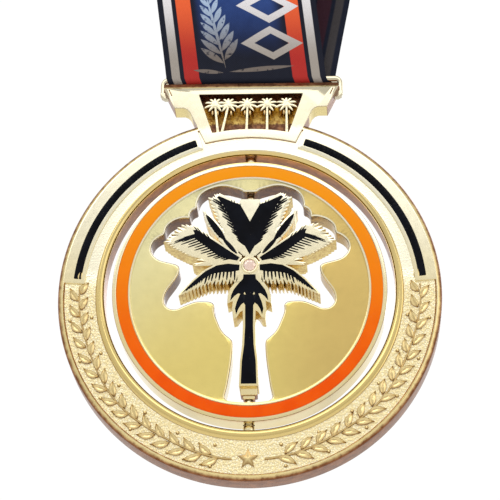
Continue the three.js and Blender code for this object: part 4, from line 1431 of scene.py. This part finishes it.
# Half outlines of the black cells, right of the middle, from the crown outwards.
HEART_HALF = [
    (0, 8.6), (1.5, 11.4), (3.1, 14.2), (4.3, 16.6), (5.3, 19.0), (6.4, 21.2), (7.8, 23.1),
    (7.3, 23.4), (5.8, 22.7), (4.4, 22.0), (3.4, 21.6), (2.3, 21.2), (1.2, 19.2), (0, 16.9),
]
SIDE_CELL = [
    (2.3, 7.9), (5.2, 9.9), (8.6, 12.3), (12.3, 14.9), (13.3, 14.9), (12.9, 13.9), (15.6, 13.1),
    (12.9, 12.8), (11.2, 11.5), (9.0, 9.7), (7.4, 8.4), (5.0, 7.5), (2.9, 7.1),
]
LOW_CELL = [
    (2.3, 6.1), (5.0, 6.4), (7.6, 6.0), (10.2, 4.6), (12.8, 2.3), (15.7, -0.8), (12.3, 1.4),
    (10.3, 2.9), (8.6, 3.9), (6.4, 4.3), (4.4, 4.3), (2.4, 4.7),
]
TRUNK_HALF = [
    (0, 3.7), (1.4, 3.7), (1.5, 2.6), (2.5, 1.5), (3.6, 0.0), (4.2, -1.4), (4.4, -2.8), (3.5, -1.7),
    (2.6, -1.0), (2.1, -1.1), (2.9, -3.1), (3.3, -4.7), (3.0, -6.2), (2.5, -4.8), (1.9, -3.8),
    (1.3, -3.3), (0.95, -3.9), (0.92, TRUNK_WAIST), (1.1, -13.5), (1.6, -17.5),
    (1.8, TRUNK_FOOT + 0.5), (0, TRUNK_FOOT + 0.5),
]
SKIRT_HALF = [
    (0, 4.6), (1.9, 4.4), (2.2, 3.0), (3.2, 1.9), (4.4, 0.3), (5.0, -1.4), (5.1, -3.5), (4.3, -3.1),
    (3.8, -2.9), (4.0, -4.6), (3.7, -7.1), (2.9, -6.9), (2.1, -5.6), (1.5, -5.2), (1.42, TRUNK_WAIST),
    (1.55, -13.5), (2.0, -17.5), (2.2, TRUNK_FOOT), (0, TRUNK_FOOT),
]


def teeth(edge, lengths, directions, pitch=0.62, half=0.15):
    """Thin enamel teeth that leave a cell along one of its edges.

    The edge is a list of points; lengths and directions (degrees) go from its start to its end.
    """
    spans = [math.dist(a, b) for a, b in zip(edge, edge[1:])]
    whole = sum(spans)
    count = max(2, round(whole / pitch))
    made = []
    for i in range(count):
        share = (i + 0.5) / count
        along = share * whole
        k = 0
        while k < len(spans) - 1 and along > spans[k]:
            along -= spans[k]
            k += 1
        base = Vector(edge[k]).lerp(Vector(edge[k + 1]), along / spans[k])
        length = lengths[0] + (lengths[1] - lengths[0]) * share
        length *= 0.72 if i % 2 else 1.0
        angle = math.radians(directions[0] + (directions[1] - directions[0]) * share)
        heading = Vector((math.cos(angle), math.sin(angle)))
        made.append(spike(base - heading * 0.35, base + heading * length, half, 0.5))
    return made


def leaflets(roots, tips, half=0.5):
    """Pointed gold leaflets from points on one line to points on another, in order."""
    return [spike(root, tip, half, 0.42) for root, tip in zip(roots, tips)]


def between_lines(line, count):
    """Evenly spaced points along a polyline."""
    spans = [math.dist(a, b) for a, b in zip(line, line[1:])]
    made = []
    for i in range(count):
        along = sum(spans) * i / (count - 1)
        k = 0
        while k < len(spans) - 1 and along > spans[k]:
            along -= spans[k]
            k += 1
        made.append(tuple(Vector(line[k]).lerp(Vector(line[k + 1]), min(1, along / spans[k]))))
    return made


def palm_loops():
    """The palm's silhouette: every cell with a gold border, and leaflets along the fronds."""
    border = 0.42
    right = [inset(SIDE_CELL[::-1], -border), inset(LOW_CELL[::-1], -border)]
    for serrations in cell_teeth(0.3).values():
        right += serrations
    right += [cell.outline(border) for cell in BETWEEN_CELLS]
    fans = [
        ([(1.0, 8.5), (6.9, 21.5)], [(5.2, 12.6), (8.2, 18.2), (9.9, 23.0)], 12),
        ([(5.0, 18.0), (6.2, 20.5)], [(8.8, 23.4), (8.4, 24.0), (7.2, 24.2)], 4),
        ([(2.0, 8.0), (8.6, 15.8)], [(7.4, 12.6), (9.4, 16.2), (11.1, 19.9)], 9),
        ([(3.0, 8.0), (7.0, 14.0)], [(6.0, 13.9), (8.3, 17.2), (10.5, 19.9)], 7),
        ([(9.5, 12.4), (12.6, 13.9)], [(12.9, 15.9), (15.8, 16.5), (17.2, 15.5), (18.4, 13.9)], 7),
        ([(5.0, 7.6), (9.6, 10.4), (13.6, 13.1)],
         [(11.4, 7.6), (14.8, 8.7), (18.4, 10.6), (20.2, 12.0), (19.0, 13.2)], 15),
        ([(1.5, 6.4), (6.4, 7.2)], [(9.0, 6.6), (13.7, 5.9), (12.4, 7.6), (11.6, 8.4)], 7),
        ([(2.2, 5.2), (9.8, 4.4), (13.4, 1.4)],
         [(2.6, 1.9), (5.0, 1.1), (9.6, 1.1), (13.2, -0.3), (16.4, -1.5)], 17),
    ]
    for roots, tips, count in fans:
        right += leaflets(between_lines(roots, count), between_lines(tips, count), 0.44)
    heart = both_sides([(0, CROWN_Z), (2.0, 10.4), (5.6, 17.4), (7.6, 21.6), (8.1, 23.7), (7.0, 24.0),
                        (4.6, 22.9), (3.2, 22.1), (2.1, HEART_TOP), (0, HEART_TOP)])
    plus = right + [mirrored(outline) for outline in right]
    return united([*plus, heart, both_sides(SKIRT_HALF), circle(0, CROWN_Z, 2.3)])


BETWEEN_CELLS = [
    Spine((3.0, 8.9), (4.6, 10.7), (6.4, 12.9), 0.5, 0.16, 0.1),
    Spine((5.7, 12.2), (7.6, 14.6), (10.3, 18.7), 0.75, 0.24, 0.08),
]


def cell_teeth(grow=0.0):
    """The enamel teeth along the right-hand edges of the cells, or their gold borders when grown."""
    rows = [
        ("heart", [(1.2, 10.8), (3.1, 14.2), (5.3, 19.0), (7.0, 22.0)], (1.9, 3.4), (38, 32), 1.05, 0.26),
        ("heart", [(2.0, 20.6), (4.6, 22.0)], (0.7, 0.9), (100, 75), 0.8, 0.12),
        ("side", [(4.6, 7.5), (7.4, 8.4), (11.2, 11.5), (13.2, 12.9), (15.2, 13.1)], (1.3, 4.4), (-14, -22),
         0.78, 0.2),
        ("side", [(9.0, 12.5), (12.6, 14.9)], (1.2, 2.4), (62, 48), 1.0, 0.14),
        ("between", [(6.2, 13.2), (9.4, 17.2)], (0.9, 0.9), (95, 95), 0.8, 0.13),
        ("between", [(6.6, 12.6), (9.6, 16.6)], (0.6, 0.7), (15, 20), 0.9, 0.12),
        ("low", [(3.0, 4.5), (6.4, 4.3), (8.6, 3.9), (10.3, 2.9)], (2.3, 1.8), (-90, -74), 0.85, 0.24),
        ("low", [(10.6, 2.7), (14.6, -0.1)], (0.9, 0.5), (-66, -50), 0.7, 0.13),
    ]
    made = {}
    for name, edge, lengths, directions, pitch, half in rows:
        row = teeth(edge, [length + grow for length in lengths], directions, pitch, half + grow)
        made.setdefault(name, []).extend(row)
    return made


def cell_loops():
    """The outlines of the enamel cells of one palm face."""
    serrations = cell_teeth()
    right = {
        "between": united([cell.outline(steps=12) for cell in BETWEEN_CELLS] + serrations["between"]),
        "side": united([SIDE_CELL, *serrations["side"]]),
        "low": united([LOW_CELL, *serrations["low"]]),
    }
    heart = [both_sides(HEART_HALF), *serrations["heart"], *map(mirrored, serrations["heart"])]
    cells = {"heart": united(heart)}
    for name, loops in right.items():
        cells[name + "_right"] = loops
        cells[name + "_left"] = [mirrored(loop) for loop in loops]
    drops = [rounded([(1.15, -0.55), (0.75, -1.3), (1.3, -1.25)], 0.3)]
    cells["trunk"] = united([both_sides(TRUNK_HALF)], drops + [mirrored(drop) for drop in drops])
    return cells


def stub_solids():
    """The stepped gold stub under the trunk that takes the lower pin."""
    made = []
    top = TRUNK_FOOT + 0.6
    for half, low in STUB_STEPS:
        outline = rounded([(half, top), (-half, top), (-half, low), (half, low)], 0.35)
        made.append(plate(united([outline]), -half, half, 0.2))
        top = low + 0.3
    return made


def bezel(side):
    """The raised collar round the crown stone."""
    base, lip = PALM_HALF - 0.3, PALM_HALF + 0.34
    profile = [(1.55, base), (1.55, lip - 0.04), (1.66, lip), (1.8, lip - 0.03), (1.98, PALM_HALF + 0.12),
               (2.06, base)]
    return turned([(radius, side * y) for radius, y in profile], 40, centre=(0, CROWN_Z))


def stone_solid(side):
    """A round faceted stone: girdle, eight crown facets and a flat table."""
    def ring(radius, turn):
        return arc(0, CROWN_Z, radius, turn, turn + 360 * 7 / 8, 7)

    seat = PALM_HALF + 0.06
    solid = Solid()
    base = solid.ring(ring(1.5, 0), side * seat)
    girdle = solid.ring(ring(1.52, 0), side * (seat + 0.16))
    crown = solid.ring(ring(1.2, 22.5), side * (seat + 0.44))
    table = solid.ring(ring(0.8, 0), side * (seat + 0.58))
    solid.wall(base, girdle)
    for i in range(8):
        j = (i + 1) % 8
        solid.face((girdle[i], girdle[j], crown[i]))
        solid.face((girdle[j], crown[j], crown[i]))
        solid.face((crown[i], crown[j], table[j]))
        solid.face((crown[i], table[j], table[i]))
    solid.face(base)
    solid.face(table)
    return solid


def build_palm():
    cells = cell_loops()
    solid = plate(palm_loops(), -PALM_HALF, PALM_HALF, 0.07, side=GILT)
    palm = to_object("palm_tree", solid, DISC_LIFT)
    extras = stub_solids() + [bezel(-1), bezel(1)]
    combine(palm, [to_object("added", extra, DISC_LIFT) for extra in extras], "UNION")
    hole = PALM_PIN_RADIUS + RUN_GAP
    foot = STUB_STEPS[1][1]
    cuts = pin_holes(hole, [(HEART_TOP - 1.6, HEART_TOP + 1), (foot - 1, foot + 1.6)])
    floor, above = PALM_HALF - CELL_DEPTH, PALM_HALF + 0.5
    for loops in cells.values():
        cuts.append(plate(loops, -above, -floor, 0.02, WALL, POLISHED))
        cuts.append(plate(loops, floor, above, 0.02, WALL, POLISHED))
    combine(palm, [to_object("hole", cut, DISC_LIFT) for cut in cuts], "DIFFERENCE")
    finish_piece(palm, PAINTS, "palm", ["palm_spinner"])
    for face, side in (("front", -1), ("back", 1)):
        for name, loops in cells.items():
            inside = [inset(loop, 0.02) for loop in loops]
            low, high = PALM_HALF - CELL_DEPTH + 0.02, PALM_HALF - 0.06
            ends = (-high, -low) if side < 0 else (low, high)
            piece = to_object(f"palm_cell_{name}_{face}", plate(inside, *ends, 0.02), DISC_LIFT)
            finish_piece(piece, ["black"], "palm", [f"palm_enamel_{name}_{face}"])
        gem = to_object("crown_gem_" + face, stone_solid(side), DISC_LIFT)
        finish_piece(gem, ["stone"], "palm", ["crown_stone_" + face], flat=True)


# ---------------------------------------------------------------- neck ribbon

LAYER_OUT = (LAYERS - 1) * LAYER_PITCH / 2
PRINT_SIDE, BACK_SIDE = 0, 1
RIBBON_SHIFT = -0.3


def run(y, low, high, steps=6):
    return [(y, low + (high - low) * (i + 1) / steps) for i in range(steps - 1)]


def leg(side, steps=10):
    """One leg, from the bar out to the outermost layer of the hank."""
    made = []
    for i in range(1, steps + 1):
        t = i / steps
        ease = t * t * (3 - 2 * t)
        made.append((side * (FOLD_RADIUS + (LAYER_OUT - FOLD_RADIUS) * ease), BAR_Z + LEG_RISE * t))
    return made


def ribbon_route():
    """The ribbon seen edge on, as (y, z) points: from the seam down the back leg, under the bar,
    up the front leg, and back and forth through the hank to the seam again."""
    seam = HANK_FOOT + 9
    lapped = LAYER_OUT + RIBBON_THICK + 0.12
    route = [(lapped, seam + SEAM_OVERLAP), (lapped, seam + 5), (lapped, seam - 2),
             (LAYER_OUT + 0.25, seam - 6)]
    route += leg(1)[::-1][1:]
    route += arc(0, BAR_Z, FOLD_RADIUS, 0, -180, 12)
    route += leg(-1)
    for layer in range(0, LAYERS, 2):
        y = -LAYER_OUT + layer * LAYER_PITCH
        middle = y + LAYER_PITCH / 2
        is_eye = layer == LAYERS / 2 - 1
        low = BAR_Z + LEG_RISE if layer == 0 else HANK_FOOT + layer % 4
        next_low = HANK_FOOT + (layer + 2) % 4
        top = HANK_TOP - abs(layer - 4) * 0.6
        if is_eye:
            flare = [(y, HANK_TOP), (y - 0.2, HANK_TOP + 1.6), (y - 1.1, HANK_TOP + 3.3)]
            route += run(y, low, HANK_TOP) + flare
            route += arc(0, EYE_Z, EYE_RADIUS, 210, -30, 18)
            route += [(-fy, fz) for fy, fz in reversed(flare)]
        else:
            route += run(y, low, top) + arc(middle, top, LAYER_PITCH / 2, 180, 0, 8)
        if layer < LAYERS - 2:
            route += run(y + LAYER_PITCH, HANK_TOP if is_eye else top, next_low)
            route += arc(middle + LAYER_PITCH, next_low, LAYER_PITCH / 2, 180, 360, 8)
        else:
            route += run(LAYER_OUT, top, seam, 5) + [(LAYER_OUT, seam)]
    return route


def stations(route, pitch):
    """Evenly spaced (y, z, length so far) along the route, closer together where it bends."""
    lengths = [0.0]
    for a, b in zip(route, route[1:]):
        lengths.append(lengths[-1] + math.dist(a, b))
    made = []
    for i in range(len(route) - 1):
        span = lengths[i + 1] - lengths[i]
        pieces = max(1, round(span / pitch))
        for k in range(pieces):
            t = k / pieces
            made.append((route[i][0] + (route[i + 1][0] - route[i][0]) * t,
                         route[i][1] + (route[i + 1][1] - route[i][1]) * t, lengths[i] + span * t))
    made.append((*route[-1], lengths[-1]))
    return made


def creeps(lengths, bar_length):
    """How far the strip has crept to the side: steeply near the bar, then evenly through the hank."""
    straight, fade_over = 22.0, 20.0
    wrap = math.pi / 2 * FOLD_RADIUS

    def slope(middle):
        away = abs(middle - bar_length)
        if away < wrap:
            return SLOT_SHIFT / wrap
        lean = math.radians(FRONT_LEAN if middle > bar_length else BACK_LEAN)
        fade = min(1.0, max(0.0, (straight + fade_over - away) / fade_over))
        return math.tan(lean) * fade * fade * (3 - 2 * fade)

    shift = [0.0]
    for a, b in zip(lengths, lengths[1:]):
        shift.append(shift[-1] - (b - a) * slope((a + b) / 2))
    nearest = min(range(len(lengths)), key=lambda i: abs(lengths[i] - bar_length))
    hank_from = bar_length + straight + fade_over
    hank = lengths[-1] - hank_from
    gap = shift[0] - shift[-1]
    return [value - shift[nearest] + max(0.0, (length - hank_from) / hank) * gap
            for value, length in zip(shift, lengths)]


def build_ribbon():
    route = ribbon_route()
    line = stations(route, 1.3)
    bar = min(line, key=lambda s: math.hypot(s[0], s[1] - BAR_Z + FOLD_RADIUS))[2]
    lengths = [s[2] for s in line]
    creep = [shift + RIBBON_SHIFT for shift in creeps(lengths, bar)]
    half = RIBBON_WIDTH / 2 / math.cos(math.radians((FRONT_LEAN + BACK_LEAN) / 2))
    columns = 26
    solid = Solid()
    rings = []
    for i, (y, z, length) in enumerate(line):
        before, after = line[max(0, i - 1)], line[min(len(line) - 1, i + 1)]
        along = Vector((after[0] - before[0], after[1] - before[1])).normalized()
        away = abs(length - bar)
        calm = min(1.0, max(0.0, (away - 3) / 14))
        loose = calm * max(0.0, min(1.0, (46 - away) / 18))
        front, back = [], []
        for k in range(columns + 1):
            share = 2 * k / columns - 1
            x = creep[i] + share * half
            edge = 1 - abs(share) ** 12 * 0.45
            spot = Vector((x * 0.055, length * 0.028, 3.1))
            wave = noise.noise(spot) * 0.16 * calm
            fold = noise.noise(Vector((x * 0.09 + length * 0.05, length * 0.04, 9.7)))
            lift = wave + fold * 1.1 * loose
            for face, row in ((-1, front), (1, back)):
                reach = face * CLOTH_THICK / 2 * edge - lift
                row.append((x, y - along.y * reach, z + along.x * reach))
        loop = front + back[::-1]
        rings.append(solid.line(loop))
    for first, second in zip(rings, rings[1:]):
        for i in range(len(first)):
            j = (i + 1) % len(first)
            solid.face((first[i], first[j], second[j], second[i]), PRINT_SIDE if i > columns else BACK_SIDE)
    solid.face(rings[0])
    solid.face(rings[-1])
    ribbon = to_object("satin_neck_ribbon", solid)
    mesh = ribbon.data
    layer = mesh.uv_layers.new(name="cloth")
    table = {}
    flat = []
    for ring_index, ring in enumerate(rings):
        length = line[ring_index][2]
        for place, index in enumerate(ring):
            k = place if place <= columns else 2 * columns + 1 - place
            table[index] = ((2 * k / columns - 1) * RIBBON_WIDTH / 2 * MM, (length - bar) * MM)
    for corner in mesh.loops:
        flat.extend(table[corner.vertex_index])
    layer.data.foreach_set("uv", flat)
    finish_piece(ribbon, ["satin", "satin_back"], "ribbon", ["neck_ribbon"], sharp=60)
    return ribbon, creep, lengths[-1]


def stitch(start, end, y, rise):
    """One stitch lying on the cloth: a short thread that dives in at both ends."""
    a, b = Vector(start), Vector(end)
    along = (b - a).normalized()
    side = Vector((-along.y, along.x))
    sections = []
    for i in range(7):
        t = i / 6
        middle = a.lerp(b, t)
        arch = math.sin(math.pi * t)
        radius = 0.2 * (0.45 + 0.55 * arch)
        out = rise * arch - 0.12 * (1 - arch)
        ring = []
        for k in range(8):
            angle = 2 * math.pi * k / 8
            px = middle + side * (radius * math.cos(angle))
            ring.append((px.x, y + out + radius * math.sin(angle), px.y))
        sections.append(ring)
    return swept(sections, sections)


def build_stitching(centre_x):
    """A box of stitches with a cross in it, over the lapped ends of the ribbon."""
    surface = LAYER_OUT + RIBBON_THICK + 0.12 + CLOTH_THICK / 2
    low, high = HANK_FOOT + 10.4, HANK_FOOT + 19.4
    left, right = centre_x - 15.8, centre_x + 15.8
    corners = [(left, low), (right, low), (right, high), (left, high)]
    runs = [*zip(corners, corners[1:] + corners[:1]), (corners[0], corners[2]), (corners[1], corners[3])]
    solid = Solid()
    for start, end in runs:
        count = max(2, round(math.dist(start, end) / 2.4))
        for i in range(count):
            a = Vector(start).lerp(Vector(end), (i + 0.12) / count)
            b = Vector(start).lerp(Vector(end), (i + 0.88) / count)
            solid.join(stitch(a, b, surface, 0.16))
    piece = to_object("box_stitching", solid)
    return finish_piece(piece, ["thread"], "ribbon", ["seam_stitching"])


def build_tie(left, right):
    """The covered elastic round the folded ribbon, ribbed along its length."""
    half = RIBBON_WIDTH / 2 / math.cos(math.radians((FRONT_LEAN + BACK_LEAN) / 2)) + 0.7
    y = LAYER_OUT + RIBBON_THICK / 2 + 0.3
    corners = [(left - half, -y), (left + half, -y), (right + half, y), (right - half, y)]
    path, outs = [], []
    for i, corner in enumerate(corners):
        here = Vector(corner)
        coming = (here - Vector(corners[i - 1])).normalized()
        going = (Vector(corners[(i + 1) % 4]) - here).normalized()
        first, last = math.atan2(-coming.x, coming.y), math.atan2(-going.x, going.y)
        turn = (last - first) % (2 * math.pi)
        for k in range(7):
            angle = first + turn * k / 6
            path.append(here)
            outs.append(Vector((math.cos(angle), math.sin(angle))))
        following = Vector(corners[(i + 1) % 4])
        for k in range(1, 10):
            path.append(here.lerp(following, k / 10))
            outs.append(outs[-1])
    sections = []
    ribs = 10
    for here, out in zip(path, outs):
        ring = []
        steps = ribs * 6
        for k in range(steps + 1):
            t = k / steps
            z = TIE_Z + TIE_HEIGHT * (t - 0.5)
            bulge = 0.78 + 0.2 * abs(math.sin(math.pi * ribs * t))
            ring.append((here.x + out.x * bulge, here.y + out.y * bulge, z))
        for z in (TIE_Z + TIE_HEIGHT / 2, TIE_Z - TIE_HEIGHT / 2):
            ring.append((here.x + out.x * 0.2, here.y + out.y * 0.2, z))
        sections.append(ring)
    piece = to_object("elastic_tie", swept(path, sections, closed=True))
    return finish_piece(piece, ["elastic"], "ribbon", ["ribbon_tie"], sharp=50)


# ---------------------------------------------------------------- stage

def soft_light(name, place, target, size, power, colour=(1.0, 1.0, 1.0)):
    data = bpy.data.lights.new(name, "AREA")
    data.shape = "RECTANGLE"
    data.size, data.size_y = size
    data.energy = power
    data.color = colour
    light = bpy.data.objects.new(name, data)
    scene.collection.objects.link(light)
    light.location = CENTRE + Vector(place)
    light.rotation_euler = (Vector(target) - Vector(place)).to_track_quat("-Z", "Y").to_euler()
    return light


def set_stage():
    """A pale floor well below, a pale surround that is brighter above, and large soft lights."""
    mesh = bpy.data.meshes.new("floor")
    reach, level = 3.0, -0.45
    mesh.from_pydata([(-reach, -reach, level), (reach, -reach, level), (reach, reach, level),
                      (-reach, reach, level)], [], [(0, 1, 2, 3)])
    floor = bpy.data.objects.new("floor", mesh)
    scene.collection.objects.link(floor)
    look = Look("pale_floor")
    look.set(Base_Color=look.mix(look.noise(400.0), (0.78, 0.77, 0.76), (0.82, 0.81, 0.80)), Roughness=0.6)
    mesh.materials.append(look.material)
    world = bpy.data.worlds.new("pale_room")
    scene.world = world
    world.use_nodes = True
    nodes, links = world.node_tree.nodes, world.node_tree.links
    split = nodes.new("ShaderNodeSeparateXYZ")
    links.new(nodes.new("ShaderNodeTexCoord").outputs["Generated"], split.inputs[0])
    ramp = nodes.new("ShaderNodeValToRGB")
    levels = nodes.new("ShaderNodeMapRange")
    levels.inputs["From Min"].default_value = -1.0
    links.new(split.outputs["Z"], levels.inputs["Value"])
    links.new(levels.outputs[0], ramp.inputs[0])
    stops = [(0.0, (0.55, 0.50, 0.45)), (0.45, (0.80, 0.77, 0.72)), (0.60, (1, 1, 1)), (1.0, (1, 1, 1))]
    ramp.color_ramp.elements[0].position = stops[0][0]
    ramp.color_ramp.elements[0].color = (*stops[0][1], 1)
    for position, colour in stops[1:-1]:
        ramp.color_ramp.elements.new(position).color = (*colour, 1)
    ramp.color_ramp.elements[-1].position = 1.0
    links.new(ramp.outputs[0], nodes["Background"].inputs["Color"])
    strength = nodes.new("ShaderNodeMapRange")
    strength.interpolation_type = "SMOOTHSTEP"
    settings = {"From Min": -0.35, "From Max": 0.35, "To Min": 0.80, "To Max": 1.03}
    for key, value in settings.items():
        strength.inputs[key].default_value = value
    links.new(split.outputs["Y"], strength.inputs["Value"])
    links.new(strength.outputs[0], nodes["Background"].inputs["Strength"])
    soft_light("key_softbox", (-0.25, -1.1, 0.95), (0, 0, 0), (1.5, 0.8), 5.0)
    soft_light("fill_softbox", (1.2, -0.8, 0.25), (0, 0, 0), (0.8, 1.2), 2.0, (1.0, 0.97, 0.92))
    soft_light("back_softbox", (0.3, 1.2, 0.8), (0, 0, 0), (1.2, 0.8), 4.0)


build_frame()
build_disc()
build_pins()
build_palm()
ribbon, creep, ribbon_length = build_ribbon()
stitching = build_stitching(max(creep))
tie = build_tie(min(creep), max(creep))
set_stage()
scene.view_settings.view_transform = "Standard"
